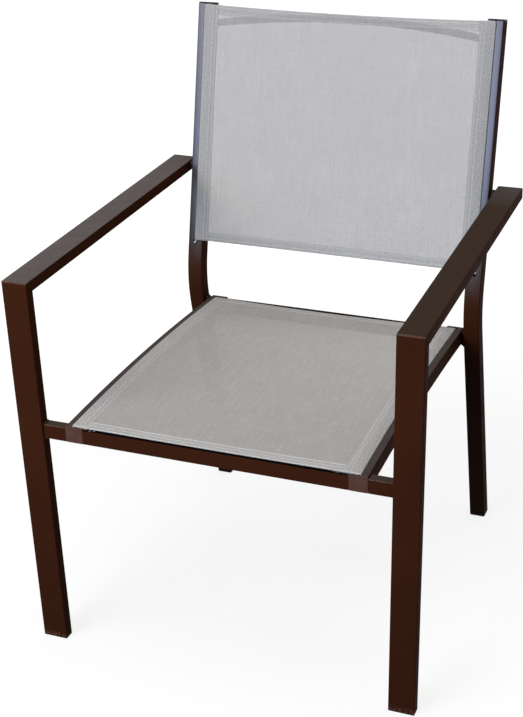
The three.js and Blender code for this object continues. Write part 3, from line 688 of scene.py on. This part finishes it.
def seat_place(x, s, n):
    """Place on the seat: forward from the sling's rear edge by s, up from the rails by n. The rails rise
    to their crown as a parabola, and n is square to its slope."""
    x, s, n = np.broadcast_arrays(x, s, n)
    span = rail_rear[1] - rail_front[1]
    share = (s + SEAT_REAR_INSET) / span
    fall = rail_front[2] - rail_rear[2]
    height = rail_rear[2] + fall * share + 4 * RAIL_CROWN * share * (1 - share)
    slope = (fall + 4 * RAIL_CROWN * (1 - 2 * share)) / span
    upright = unit(np.stack([np.zeros_like(slope), slope, np.ones_like(slope)], -1))
    fade = np.clip(1 - (SEAT_LENGTH - s) / SEAT_EDGE_FADE, 0, None) ** 2
    rear_fade = np.clip(1 - s / SEAT_EDGE_FADE, 0, None) ** 2
    middle = np.clip(1 - (x / seat_half(s)) ** 2, 0, 1)
    pull = (SEAT_EDGE_PULL * fade - SEAT_REAR_PULL * rear_fade) * middle
    lift = SEAT_EDGE_LIFT * fade * middle
    ground = np.stack([x, rail_rear[1] - share * span + pull, height + lift], -1)
    return ground + n[..., None] * upright


print("back", round(2 * float(back_half(0.0)), 4), "by", BACK_LENGTH, "m between slots")
print("seat", round(2 * float(seat_half(0.0)), 4), "by", round(SEAT_LENGTH, 4), "m between slots")

# %% [markdown]
# Sling section
#
# Seen in section, the cloth is one long strip. It crosses the chair, folds down over the outer
# lip of the slot, goes round the rod, comes back up the other side of the slot and ends as a
# second layer that is sewn to the first. The strip is drawn once, for the right-hand side, as a
# path of straight runs and arcs, and mirrored. A point is kept as a share of the half width plus
# an offset, so the same path fits a seat that widens to the front. Heights are those of the
# middle of the cloth over the rail's face.

# %% Sling section
CLOTH_THICKNESS = 0.00045
TOP_LAYER = 0.00135
SEAM_LAYER = 0.00085
HEM_LAYER = 0.00035
SEAM_WIDTH = 0.0245
FOLD_RADIUS = 0.00045
ROD_CENTRE = -0.00571
ROD_RADIUS = 0.0025
ROD_PLAY = 0.0003
POCKET_RADIUS = ROD_RADIUS + ROD_PLAY + CLOTH_THICKNESS / 2
SLOT_PASS = 0.00045
HEM_END = 0.0014
FIELD_STEP = 0.0045
SEAM_STEP = 0.0015
LIP_STEPS = 3
POCKET_STEPS = 18


def arc(x, n, radius, start, stop, steps):
    """Points on an arc in a section, from one angle to another in degrees, both included."""
    angle = np.radians(np.linspace(start, stop, steps + 1))
    return np.stack([x + radius * np.cos(angle), n + radius * np.sin(angle)], -1)


def sling_section(half):
    """Columns of the cloth, from the end of the left seam's second layer to the end of the right one's.
    Each has its side, a share of the half width, an offset from there, a height, its place along the
    flat cloth, and whether a hem folds under it."""
    fine_from = SEAM_WIDTH + 2 * SEAM_STEP
    field_end = half - fine_from
    field = np.linspace(0, 1, round(field_end / FIELD_STEP) + 1)
    seam = np.linspace(-fine_from, -HEM_END, round(SEAM_WIDTH / SEAM_STEP) + 3)[1:]
    enter = math.degrees(math.acos(SLOT_PASS / POCKET_RADIUS))
    outer, inner = SLOT_PASS - FOLD_RADIUS, -SLOT_PASS - FOLD_RADIUS
    loop = np.vstack([
        arc(outer, TOP_LAYER - FOLD_RADIUS, FOLD_RADIUS, 90, 0, LIP_STEPS),
        arc(0, ROD_CENTRE, POCKET_RADIUS, enter, -180 - enter, POCKET_STEPS),
        arc(inner, SEAM_LAYER - FOLD_RADIUS, FOLD_RADIUS, 0, 90, LIP_STEPS),
    ])
    under = np.linspace(inner, -SEAM_WIDTH, round(SEAM_WIDTH / SEAM_STEP / 2) + 1)[1:]
    share = np.concatenate([field, np.ones(len(seam) + len(loop) + len(under))])
    offset = np.concatenate([field * (field_end - half), seam, loop[:, 0], under])
    on_top = len(field) + len(seam)
    layers = [np.full(on_top, TOP_LAYER), loop[:, 1], np.full(len(under), SEAM_LAYER)]
    height = np.concatenate(layers)
    x = share * half + offset
    along = np.concatenate([[0], np.cumsum(np.hypot(np.diff(x), np.diff(height)))])
    hemmed = np.arange(len(x)) < on_top

    def both(values, sign=1):
        return np.concatenate([sign * values[:0:-1], values])

    side = both(np.ones(len(x)))
    side[: len(x) - 1] = -1
    return {
        "side": side,
        "share": both(share),
        "offset": both(offset),
        "height": both(height),
        "along": both(along, -1),
        "hemmed": both(hemmed) > 0,
    }


section = sling_section(float(back_half(0.0)))
print(len(section["side"]), "columns, cut", round(float(np.ptp(section["along"])), 4), "m wide")

# %% [markdown]
# Sewing the slings
#
# Both ends of a sling are hemmed: the cloth turns back under itself round a tight fold. Over the
# side seams the hem has one more layer to clear, so it lies lower there. The grid's rows run
# down the cloth, and the rows of each hem join on to its first and last row, over the hemmed
# columns only. The stretched field is not perfectly flat. It sags a little between the rails, the
# side pockets bulge, and the pull of the corners and of the stitching leaves shallow waves that
# the light finds. A cloth simulation could find them too, but sums of sines take no time and
# never vary.

# %% Sewing the slings
ROW_STEP = 0.0035
HEM_ROWS = 6
FOLD_STEPS = 5
HEM_SHIFT = YARN_PITCH / 2
SHIFT_RUN = 0.018
OVER_SEAM_RUN = 0.0015
SEAM_PUCKER = 0.00012
SEAM_PUCKER_WIDTH = 0.003
PUCKER_LENGTH = 0.011
FIELD_WAVE = 0.0004
FIELD_FADE = (0.05, 0.06)
POCKET_CROWN = 0.0011
CROWN_FADE = 0.02


def waves(x, s, half, length):
    """Height of the shallow waves in a stretched sling: long ones in the field, fanning out from the
    corners, a pucker of one stitch or two along the side seams, and the crown of the side pockets."""
    to_end = np.minimum(s, length - s)
    inside = np.clip((half - SEAM_WIDTH * 0.8 - np.abs(x)) / FIELD_FADE[0], 0, 1)
    ends = np.clip(to_end / FIELD_FADE[1], 0, 1)
    fan = np.sin(23 * x + 31 * s) * np.cos(41 * s - 17 * x) + 0.5 * np.sin(67 * x) * np.cos(52 * s)
    past_seam = np.abs(x) - half + SEAM_WIDTH
    seam = np.exp(-((past_seam / SEAM_PUCKER_WIDTH) ** 2))
    pucker = SEAM_PUCKER * seam * np.sin(2 * math.pi * s / PUCKER_LENGTH + 2 * np.sin(9 * s))
    bulge = np.sin(math.pi * np.clip(past_seam / SEAM_WIDTH, 0, 1))
    crown = POCKET_CROWN * bulge * np.clip(to_end / CROWN_FADE, 0, 1)
    return FIELD_WAVE * fan * inside * ends + pucker + crown


def hem_strip(end, outwards, width, height):
    """A hem's rows, round the fold at the sling's end and back under it: how far down the sling each
    row lies, at which height, and how far down the flat cloth."""
    turn = np.radians(np.linspace(90, -90, FOLD_STEPS + 1))[1:, None]
    back = width * np.linspace(0, 1, HEM_ROWS + 1)[1:, None]
    radius = (TOP_LAYER - height) / 2
    fold_s = end + outwards * radius * np.cos(turn)
    fold_n = (TOP_LAYER + height) / 2 + radius * np.sin(turn)
    under_s = end - outwards * back + 0 * radius
    run = np.vstack([radius * (math.pi / 2 - turn), math.pi * radius + back])
    s = np.vstack([fold_s, under_s])
    n = np.vstack([fold_n, height + 0 * under_s])
    return s, n, end + outwards * (run + HEM_SHIFT)


def sew_sling(name, place, half_at, length, ledge, sag, hems, tone):
    """One sling: the field with its side pockets, and a hem of its own width at each end. Returns the
    piece, the function that puts a point on it, and the size of the cut cloth."""
    half_way = float(half_at(length / 2))
    columns = sling_section(half_way)
    side, share, offset = columns["side"], columns["share"], columns["offset"]
    along, hemmed = columns["along"], columns["hemmed"]

    def lie(x, s, height):
        half = half_at(s)
        drop = sag * np.clip(1 - (x / (half - ledge)) ** 2, 0, None)
        return place(x, s, height - drop + waves(x, s, half, length))

    def surface(s, height, keep=slice(None)):
        return lie(side[keep] * (share[keep] * half_at(s) + offset[keep]), s, height).reshape(-1, 3)

    def on_flat(across, down):
        return np.stack(np.broadcast_arrays(across, down), -1).reshape(-1, 2)

    rows = np.linspace(0, length, round(length / ROW_STEP) + 1)[:, None]
    points = [surface(rows, columns["height"])]
    numbers = np.arange(len(points[0])).reshape(len(rows), -1)
    faces = [quads(numbers)]
    skew = HEM_SHIFT * np.clip((np.abs(along) - half_way) / SHIFT_RUN, 0, 1)
    flat = [on_flat(along, rows + skew)]
    to_seam = np.abs(along[hemmed]) - float(half_at(0.0)) + SEAM_WIDTH
    over_seam = np.clip(to_seam / OVER_SEAM_RUN + 1, 0, 1)
    hem_height = SEAM_LAYER + (HEM_LAYER - SEAM_LAYER) * over_seam
    count = len(points[0])
    for end, outwards, width in zip((0.0, length), (-1, 1), hems):
        s, n, run = hem_strip(end, outwards, width, hem_height)
        points.append(surface(s, n, hemmed))
        flat.append(on_flat(along[hemmed], run))
        added = count + np.arange(s.size).reshape(s.shape)
        count += s.size
        if outwards < 0:
            faces.append(quads(np.vstack([added[::-1], numbers[:1, hemmed]])))
        else:
            faces.append(quads(np.vstack([numbers[-1:, hemmed], added])))
    material = woven(name, half_way - SEAM_WIDTH, length, hems, tone)
    points, faces, flat = np.vstack(points), np.vstack(faces).tolist(), np.vstack(flat)
    sling = make_piece(name, points, faces, material, "sling_cloth", flat)
    thick = sling.modifiers.new("thickness", "SOLIDIFY")
    thick.thickness = CLOTH_THICKNESS
    thick.offset = 0
    cut = (float(np.ptp(along)), length + sum(hems))
    area = cut[0] * length + sum(hems) * 2 * float(half_at(0.0))
    print(name, "cut", round(cut[0], 3), "by", round(cut[1], 3), "m,", len(sling.data.polygons), "faces")
    return sling, lie, {"flat": cut, "area": area}


# The last colour of each sling is painted light: its doubled zones are painted paler than the field.
BACK = {"ledge": 0.0135, "sag": 0.0025, "hems": (0.016, 0.015), "tone": srgb(190, 188, 187)}
SEAT = {"ledge": 0.017, "sag": 0.0019, "hems": (0.018, 0.018), "tone": srgb(211, 209, 208)}
back_sling, back_lie, back_cut = sew_sling("back_sling_cloth", back_place, back_half, BACK_LENGTH, **BACK)
seat_sling, seat_lie, seat_cut = sew_sling("seat_sling_cloth", seat_place, seat_half, SEAT_LENGTH, **SEAT)
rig.replaces(back_sling, "back_sling")
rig.replaces(seat_sling, "seat_sling")

# %% [markdown]
# Stitching
#
# A lockstitch machine sews every hem and side pocket. On the face of the cloth it leaves a row of
# short threads that dive into needle holes four millimetres apart. A picture of threads would do
# from far off, but it stays flat from the side. So one stitch is a little tube of twenty points,
# and a row is that tube repeated along a line on the sling. The side pockets have two rows. The
# seat's front hem, which knees rub on, has three, and a whipped edge of short threads that wrap
# it. At its corners some yarns have frayed.

# %% Stitching
STITCH_PITCH = 0.004
STITCH_LENGTH = 0.0032
THREAD_RADIUS = 0.0003
THREAD_TOP = TOP_LAYER + 0.0004
THREAD_END = TOP_LAYER + 0.0001
ROW_END = 0.0025
WHIP_PITCH = 0.0011
WHIP_REACH = 0.0034
WHIP_RADIUS = 0.00046
FRAY_RADIUS = 0.00016
FRAYS = 26
FRAY_REACH = (0.002, 0.0065)
FRAY_INSET = (0.006, 0.04)
FRAY_RISE = (-0.5, 0.35)
FRAY_SWING = 0.7
THREAD_TAPER = (0.6, 1, 1, 1, 0.6)
THREAD_CORNERS = (45, 135, 225, 315)
SIDE_ROWS = (0.003, 0.009)
BACK_ROWS = (0.004, 0.013, BACK_LENGTH - 0.012, BACK_LENGTH - 0.004)
SEAT_ROWS = (0.004, 0.015, SEAT_LENGTH - 0.017, SEAT_LENGTH - 0.0155, SEAT_LENGTH - 0.0085)


def thread(lie, x, s, height, radius):
    """Points of little square tubes that lie on a sling, with the corners set round each station and
    aside of the thread's run. Each row of the arrays has the stations of one tube."""
    turn = np.radians(THREAD_CORNERS)
    radius = radius * np.array(THREAD_TAPER)[:, None]
    run_x, run_s = np.gradient(x, axis=1)[..., None], np.gradient(s, axis=1)[..., None]
    length = np.hypot(run_x, run_s) + 1e-9
    aside = radius * np.cos(turn)
    return lie(
        x[..., None] + aside * run_s / length,
        s[..., None] + aside * run_x / length,
        height[..., None] + radius * np.sin(turn),
    )


def stitches(start, stop):
    """Distances of the stations of a row's stitches along the row, and their heights: half a wave of a
    sine, flattened by a square root."""
    share = np.array([0, 0.12, 0.5, 0.88, 1])
    first = np.arange(start, stop - STITCH_LENGTH, STITCH_PITCH)[:, None]
    height = THREAD_END + (THREAD_TOP - THREAD_END) * np.sin(math.pi * share) ** 0.5
    return first + STITCH_LENGTH * share, height + 0 * first


def sewn_rows(lie, half_at, length, cross_rows):
    """The rows along both side pockets and those across the sling."""
    rows = []
    down, height = stitches(ROW_END, length - ROW_END)
    for inset in SIDE_ROWS:
        for side in SIDES.values():
            x = side * (half_at(down) - SEAM_WIDTH + inset)
            rows.append(thread(lie, x, down, height, THREAD_RADIUS))
    for s in cross_rows:
        half = float(half_at(s)) - SEAM_WIDTH
        across, height = stitches(-half, half)
        rows.append(thread(lie, across, np.full_like(across, s), height, THREAD_RADIUS))
    return rows


def whipped_edge(lie, half, length):
    """Threads that wrap the front edge of the seat, slanting a little: over its face, round the edge
    and back below it."""
    middle = (TOP_LAYER + HEM_LAYER) / 2
    first = np.arange(-half + ROW_END, half - ROW_END, WHIP_PITCH)[:, None]
    slant = np.array([0, 0.0003, 0.0005, 0.0007, 0.001])
    s = length + np.array([-WHIP_REACH, -0.0004, 0.0006, -0.0004, -WHIP_REACH / 2])
    height = np.array([THREAD_END, THREAD_TOP, middle, HEM_LAYER - 0.00015, HEM_LAYER - 0.0001])
    return thread(lie, first + slant, s + 0 * first, height + 0 * first, WHIP_RADIUS)


def frays(lie, half, length):
    """Broken yarns that curl out of the front edge near both corners. Each leaves the edge at a chance
    place, and swings aside and up or down along its own chance length."""
    random = np.random.default_rng(7)
    each = (2 * FRAYS, 1)
    side = np.repeat([1, -1], FRAYS)[:, None]
    share = np.linspace(0, 1, 5)
    reach = random.uniform(*FRAY_REACH, each)
    swing = random.normal(0, FRAY_SWING, each)
    x = side * (half - random.uniform(*FRAY_INSET, each)) + reach * np.sin(swing * share) * share
    s = length - 0.001 + reach * share * np.cos(swing)
    height = THREAD_TOP + reach * share * random.uniform(*FRAY_RISE, each)
    return thread(lie, x, s, height, FRAY_RADIUS)


def thread_piece(name, rows):
    """One piece of all the tubes in a list of rows."""
    points = np.concatenate(rows)
    stations, corners = points.shape[1:3]
    first = stations * corners * np.arange(len(points))
    tube = np.array(shell(points[0]))
    faces = (first[:, None, None] + tube).reshape(-1, 4).tolist()
    print(name, len(points), "threads")
    return make_piece(name, points, faces, seam_thread, "sling_cloth")


back_rows = sewn_rows(back_lie, back_half, BACK_LENGTH, BACK_ROWS)
seat_rows = sewn_rows(seat_lie, seat_half, SEAT_LENGTH, SEAT_ROWS)
front = (seat_lie, float(seat_half(SEAT_LENGTH)), SEAT_LENGTH)
back_threads = [thread_piece("back_sling_stitching", back_rows)]
seat_threads = [
    thread_piece("seat_sling_stitching", seat_rows),
    thread_piece("seat_sling_edge", [whipped_edge(*front)]),
    thread_piece("seat_sling_frays", [frays(*front)]),
]
posts, rails = ([f"{side}_{name}" for side in SIDES] for name in ("back_post", "seat_rail"))
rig.sheet(back_sling, held="stretched", rests_on=posts, with_pieces=back_threads, **back_cut)
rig.sheet(seat_sling, held="stretched", rests_on=rails, with_pieces=seat_threads, **seat_cut)

# %% [markdown]
# Frame pieces as they are
#
# The tubes, caps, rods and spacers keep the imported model's shapes. Their meshes arrive as loose
# triangles, so a Weld modifier joins the corners, and a small Geometry Nodes group shades every
# edge smooth that turns by less than a set angle. Rounded tube corners and the bends of the
# posts then look round, and sharp ends stay sharp. Large faces get most of the say in the shading
# at a corner, so the flat sides of a tube stay flat.

# %% Frame pieces as they are
SMOOTH_BELOW = math.radians(50)
WELD_DISTANCE = 0.00001


def smooth_by_angle():
    """Node group: faces are shaded smooth, and an edge stays sharp where they turn by more than the angle."""
    group = bpy.data.node_groups.new("smooth_by_angle", "GeometryNodeTree")
    group.interface.new_socket("Geometry", in_out="INPUT", socket_type="NodeSocketGeometry")
    group.interface.new_socket("Geometry", in_out="OUTPUT", socket_type="NodeSocketGeometry")
    add = group.nodes.new
    start, end = add("NodeGroupInput"), add("NodeGroupOutput")
    turn, low = add("GeometryNodeInputMeshEdgeAngle"), add("FunctionNodeCompare")
    edges, faces = add("GeometryNodeSetShadeSmooth"), add("GeometryNodeSetShadeSmooth")
    edges.domain, faces.domain = "EDGE", "FACE"
    low.operation = "LESS_THAN"
    low.inputs[1].default_value = SMOOTH_BELOW
    for out, into in (
        (start.outputs[0], edges.inputs[0]),
        (turn.outputs[0], low.inputs[0]),
        (low.outputs[0], edges.inputs["Shade Smooth"]),
        (edges.outputs[0], faces.inputs[0]),
        (faces.outputs[0], end.inputs[0]),
    ):
        group.links.new(out, into)
    return group


SMOOTHING = smooth_by_angle()


def shade(piece):
    """Smooth bends, sharp ends and flat sides."""
    piece.modifiers.new("smoothed", "NODES").node_group = SMOOTHING
    evened = piece.modifiers.new("evened", "WEIGHTED_NORMAL")
    evened.keep_sharp = True
    evened.mode = "FACE_AREA_WITH_ANGLE"


def dress(name, material):
    """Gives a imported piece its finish, joined corners and shading."""
    piece = nodes[name]
    for slot in piece.material_slots:
        slot.material = material
    joined = piece.modifiers.new("joined", "WELD")
    joined.merge_threshold = WELD_DISTANCE
    shade(piece)


FINISHES = {
    paint: ("armrest", "front_leg", "seat_rail", "front_stub", "rear_stub"),
    post_paint: ("back_post",),
    black_plastic: ("arm_end_cap", "post_cap", "front_foot_glide", "rear_foot_glide", "arm_spacer"),
    brown_plastic: ("rail_front_cap", "rail_rear_cap"),
    rod_plastic: ("back_keder_rod", "seat_keder_rod"),
    zinc: ("arm_rivet_nut",),
}
for material, names in FINISHES.items():
    for name in names:
        for side in SIDES:
            dress(f"{side}_{name}", material)
BARS = {"front_crossbar": bar_paint, "rear_crossbar": bar_paint, "back_spreader_bar": paint}
for name, material in BARS.items():
    dress(name, material)
pairs = sum(len(names) for names in FINISHES.values())
print("dressed", pairs * len(SIDES) + len(BARS), "packed pieces")

# %% [markdown]
# Weld beads
#
# The frame's joints are welded, and the beads show through the paint as rows of overlapping
# ripples. A bead fills the angle between two faces. Its root is a line, two directions lie along
# the faces, and its skin swings from one to the other at a radius that ripples along the line
# and tapers off at the ends. Where the spreader bar meets a post the line is a ring. Its beads
# lean with the bar, which arches up and bows back, so each leaves its post at a slant.

# %% Weld beads
RIPPLE = 0.0017
RIPPLE_DEPTH = 0.09
BEAD_STEP = 0.0003
BEAD_SIDES = 9
BEAD_HOLLOW = 0.14
TAPER_LENGTH = 0.7
BEAD_LEGS = {"front_stub": 0.002, "rear_stub": 0.005, "arm_corner": 0.004, "spreader": 0.0022}
SPREADER_RADIUS = 0.006
SPREADER_RISE = 0.018
SPREADER_BOW = 0.02


def weld_bead(name, root, first, second, leg, ring_too=False):
    """A bead along a line of root points, in the angle between two directions. A hollow, the dips
    between ripples and the tapered ends take from the leg, which is its largest radius."""
    run = np.linalg.norm(np.diff(root, axis=0, prepend=root[:1]), axis=-1).cumsum()[:, None, None]
    swing = np.radians(np.linspace(0, 90, BEAD_SIDES))[:, None]
    dip = (1 - np.abs(np.sin(math.pi * run / RIPPLE))) * np.sin(swing + 0.4)
    to_end = np.minimum(run, run.max() - run)
    taper = 1.0 if ring_too else np.clip(to_end / (TAPER_LENGTH * leg), 0.05, 1) ** 0.5
    radius = leg * (1 - BEAD_HOLLOW * np.sin(2 * swing)) * (1 - RIPPLE_DEPTH * dip) * taper
    first, second = (np.broadcast_to(way, root.shape)[:, None] for way in (first, second))
    skin = root[:, None] + radius * (first * np.cos(swing) + second * np.sin(swing))
    rings = np.concatenate([skin, root[:, None]], axis=1)
    return make_piece(name, rings, shell(rings, ring_too), paint, "weld_paint")


def straight(start, stop):
    """Points on a straight line, a step apart."""
    steps = round(float(np.linalg.norm(np.subtract(stop, start))) / BEAD_STEP)
    return np.linspace(start, stop, steps + 1)


def bead_in_angle(side, joint, which, first, second):
    """Replaces a straight bead of the model. Its root is the corner of its box that both directions leave."""
    node = f"{side}_{joint}_{which}weld"
    low, high = (np.array(corner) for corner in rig.box(node))
    ways = np.add(first, second)
    start, stop = np.where(ways < 0, high, low), np.where(ways > 0, low, high)
    bead = weld_bead(f"{node}_bead", straight(start, stop), first, second, BEAD_LEGS[joint])
    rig.replaces(bead, node)


def bead_round_spreader(side, sign):
    """Replaces the ring of weld where the spreader bar meets a post."""
    node = f"{side}_spreader_weld"
    low, high = (np.array(corner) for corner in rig.box(node))
    centre = (low + high) / 2
    centre[0] = high[0] if sign > 0 else low[0]
    arch = -SPREADER_RISE * down_back - SPREADER_BOW * out_of_back
    along_bar = unit(np.array([-sign, 0, 0]) + 2 * arch / abs(centre[0]))
    turn = np.arange(0, 2 * math.pi, BEAD_STEP / SPREADER_RADIUS)[:, None]
    radial = np.cos(turn) * out_of_back + np.sin(turn) * down_back
    root = centre + SPREADER_RADIUS * radial
    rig.replaces(weld_bead(f"{node}_bead", root, along_bar, radial, BEAD_LEGS["spreader"], True), node)


UP, DOWN, BACKWARDS = (0, 0, 1), (0, 0, -1), (0, 1, 0)
for side, sign in SIDES.items():
    for joint in ("front_stub", "rear_stub"):
        bead_in_angle(side, joint, "upper_", (-sign, 0, 0), UP)
        bead_in_angle(side, joint, "lower_", (-sign, 0, 0), DOWN)
    bead_in_angle(side, "arm_corner", "", BACKWARDS, DOWN)
    bead_round_spreader(side, sign)
print("weld beads with ripples", RIPPLE, "m apart")

# %% [markdown]
# Arm bolts
#
# A button-head screw with a hexagon socket ties each armrest to its post. The whole screw is one
# profile turned about its axis, from the floor of the socket over the domed head and down the
# shank to the tip. The rings of the socket are pulled from a circle to a hexagon, so that no cut
# leaves long thin faces in the head.

# %% Arm bolts
BOLT_SIDES = 48
HEAD_HEIGHT = 0.0032
SHANK_RADIUS = 3.0
TIP_CHAMFER = 0.6
# In millimetres: the radius, the height over the face that the head rests on, and 1 for a hexagon
SOCKET = ((1.95, 1.3, 1), (2.0, 3.0, 1), (2.2, 3.2, 1))
DOME = ((2.7, 3.2, 0), (3.6, 2.95, 0), (4.4, 2.4, 0), (5.0, 1.65, 0), (5.35, 0.85, 0), (5.5, 0.25, 0))
UNDER_HEAD = ((5.3, 0.0, 0), (SHANK_RADIUS, 0.0, 0))


def arm_bolt(side, sign):
    """A button-head screw in place of the model's plain one. A hexagon's radius is its half width over
    the cosine of the turn from the middle of a flat."""
    node = f"{side}_arm_bolt"
    low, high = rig.box(node)
    centre = (low + high) / 2
    outer = low.x if sign > 0 else high.x
    shank = (high.x - low.x - HEAD_HEIGHT) * 1000
    tip = ((SHANK_RADIUS, TIP_CHAMFER - shank, 0), (SHANK_RADIUS - TIP_CHAMFER, -shank, 0))
    radius, rise, hexed = np.array(SOCKET + DOME + UNDER_HEAD + tip).T[:, :, None]
    turn = np.linspace(0, 2 * math.pi, BOLT_SIDES + 1)[:-1]
    hexagon = 1 / np.cos((turn + math.pi / 6) % (math.pi / 3) - math.pi / 6)
    radius = radius * (1 + hexed * (hexagon - 1)) / 1000
    x = outer + sign * (HEAD_HEIGHT - rise / 1000) + 0 * turn
    rings = np.stack([x, centre.y + radius * np.cos(turn), centre.z + radius * np.sin(turn)], -1)
    bolt = make_piece(f"{node}_button_head", rings, shell(rings), zinc, "plated_steel")
    shade(bolt)
    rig.replaces(bolt, node)


for side, sign in SIDES.items():
    arm_bolt(side, sign)
print(len(SIDES), "arm bolts")

# %% [markdown]
# Rod end
#
# At the foot of the back sling each slot opens wider, where the rod was fed in. The soft end of
# the left rod bends out there, and shows as a white spot under the corner of the cloth. It is a
# tube along a path of a few stations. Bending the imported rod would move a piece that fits.

# %% Rod end
TAIL_RADIUS = 0.0021
TAIL_SIDES = 16
# Distance past the cloth's foot, height over the post's face, and share of the radius
TAIL = (
    (0.0035, -0.0057, 1),
    (0.0042, -0.0052, 1),
    (0.0047, -0.0035, 1),
    (0.005, -0.001, 1),
    (0.0051, 0.0012, 0.85),
    (0.0051, 0.0018, 0.5),
)

stations = np.array(TAIL)
run, height, share = stations.T[:, :, None]
ahead = unit(np.gradient(stations[:, :2], axis=0))
turn = np.linspace(0, 2 * math.pi, TAIL_SIDES + 1)[:-1]
aside, bend = TAIL_RADIUS * share * np.cos(turn), TAIL_RADIUS * share * np.sin(turn)
rings = back_place(
    aside - float(back_half(0.0)),
    BACK_LENGTH + run - bend * ahead[:, 1:],
    height + bend * ahead[:, :1],
)
make_piece("left_rod_end", rings, shell(rings), rod_plastic, "rod_plastic")
print("rod end of", TAIL_SIDES, "sides")

# %% [markdown]
# Light, floor and background
#
# The chair stands on a pale floor in soft light, against white. What the camera and mirror-like
# reflections see of the floor and of the world is made white by the Light Path node. The light
# that falls on the chair is a separate, plainer level, at which a colour renders about as it is
# written, so white cloth keeps its weave and brown stays brown. Three soft boxes do the rest: a
# warm one high in front, a cool panel that the fronts of the posts mirror, and one overhead.

# %% Light, floor and background
FLOOR_SIZE = 14.0
FLOOR_GLOW = 0.82
FLOOR_SHADE = 0.2
FLOOR_PLAIN = 0.36
GLOW_SPREAD = (0.6, 1.8)
WORLD_LIGHT = 0.11
# Each lamp: place, the point that it aims at, size, power in watts and colour
LAMPS = {
    "front_softbox": ((-1.7, -3.2, 2.5), (0, 0, 0.5), (2.6, 2.0), 107, (1.0, 0.95, 0.85)),
    "cool_panel": ((-0.95, -3.4, 1.1), (0, 0.2, 0.7), (2.0, 1.3), 70, (0.53, 0.69, 1.0)),
    "top_softbox": ((0.1, 0.0, 3.4), (0, 0, 0.4), (2.8, 2.8), 67, (1.0, 0.98, 0.95)),
}


def seen_by_camera(tree):
    """1 for light that goes to the camera, straight or by mirror or glass, and 0 for light that falls."""
    path = tree.nodes.new("ShaderNodeLightPath")
    rays = [Socket(tree, path.outputs[f"Is {kind} Ray"]) for kind in ("Camera", "Glossy", "Transmission")]
    return rays[0].larger(rays[1]).larger(rays[2])


def white_world():
    world = bpy.data.worlds.new("studio")
    world.use_nodes = True
    tree = world.node_tree
    back = tree.nodes["Background"]
    shown = seen_by_camera(tree)
    tree.links.new((shown * (1 - WORLD_LIGHT) + WORLD_LIGHT).out, back.inputs["Strength"])
    back.inputs["Color"].default_value = (1, 1, 1, 1)
    bpy.context.scene.world = world


def floor_material():
    """Pale floor. To the camera it glows white, more so away from the chair, and keeps a soft shadow."""
    material = bpy.data.materials.new("floor")
    material.use_nodes = True
    tree = material.node_tree
    tree.nodes.clear()
    start = Socket(tree, None)

    def matt(grey):
        return start.node("ShaderNodeBsdfDiffuse", inputs={"Color": (grey, grey, grey, 1)})

    place = start.node("ShaderNodeNewGeometry", output="Position")
    away = start.node("ShaderNodeVectorMath", {"operation": "LENGTH"}, {0: place}, "Value")
    strength = away.ramp(*GLOW_SPREAD, FLOOR_GLOW, 1.0)
    glow = start.node("ShaderNodeEmission", inputs={"Strength": strength})
    shown = start.node("ShaderNodeAddShader", inputs={0: matt(FLOOR_SHADE), 1: glow})
    mixed = {0: seen_by_camera(tree), 1: matt(FLOOR_PLAIN), 2: shown}
    surface = start.node("ShaderNodeMixShader", inputs=mixed)
    start.node("ShaderNodeOutputMaterial", inputs={"Surface": surface})
    return material


def floor():
    mesh = bpy.data.meshes.new("floor")
    edge = FLOOR_SIZE / 2
    corners = [(-edge, -edge, 0), (edge, -edge, 0), (edge, edge, 0), (-edge, edge, 0)]
    mesh.from_pydata(corners, [], [(0, 1, 2, 3)])
    mesh.materials.append(floor_material())
    piece = bpy.data.objects.new("floor", mesh)
    bpy.context.collection.objects.link(piece)
    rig.stage(piece)


def softbox(name, place, aim, size, power, colour):
    lamp = bpy.data.lights.new(name, "AREA")
    lamp.shape = "RECTANGLE"
    lamp.size, lamp.size_y = size
    lamp.energy = power
    lamp.color = colour
    made = bpy.data.objects.new(name, lamp)
    made.location = place
    made.rotation_euler = (Vector(aim) - Vector(place)).to_track_quat("-Z", "Y").to_euler()
    bpy.context.collection.objects.link(made)


white_world()
floor()
for name, setting in LAMPS.items():
    softbox(name, *setting)
bpy.context.scene.view_settings.view_transform = "Standard"
print(len(LAMPS), "lamps, world at", WORLD_LIGHT)

# %% [markdown]
# Sizes and finish
#
# The boxes of the dressed chair and of the imported model are written side by side, so that they can be compared.

# %% Sizes and finish
seen_low, seen_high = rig.bounds()
sizes = {
    "cad": [list(cad_low), list(cad_high)],
    "visual": [list(seen_low), list(seen_high)],
}
with open("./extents.json", "w") as file:
    json.dump(sizes, file)
print("seen", [round(size, 4) for size in seen_high - seen_low])
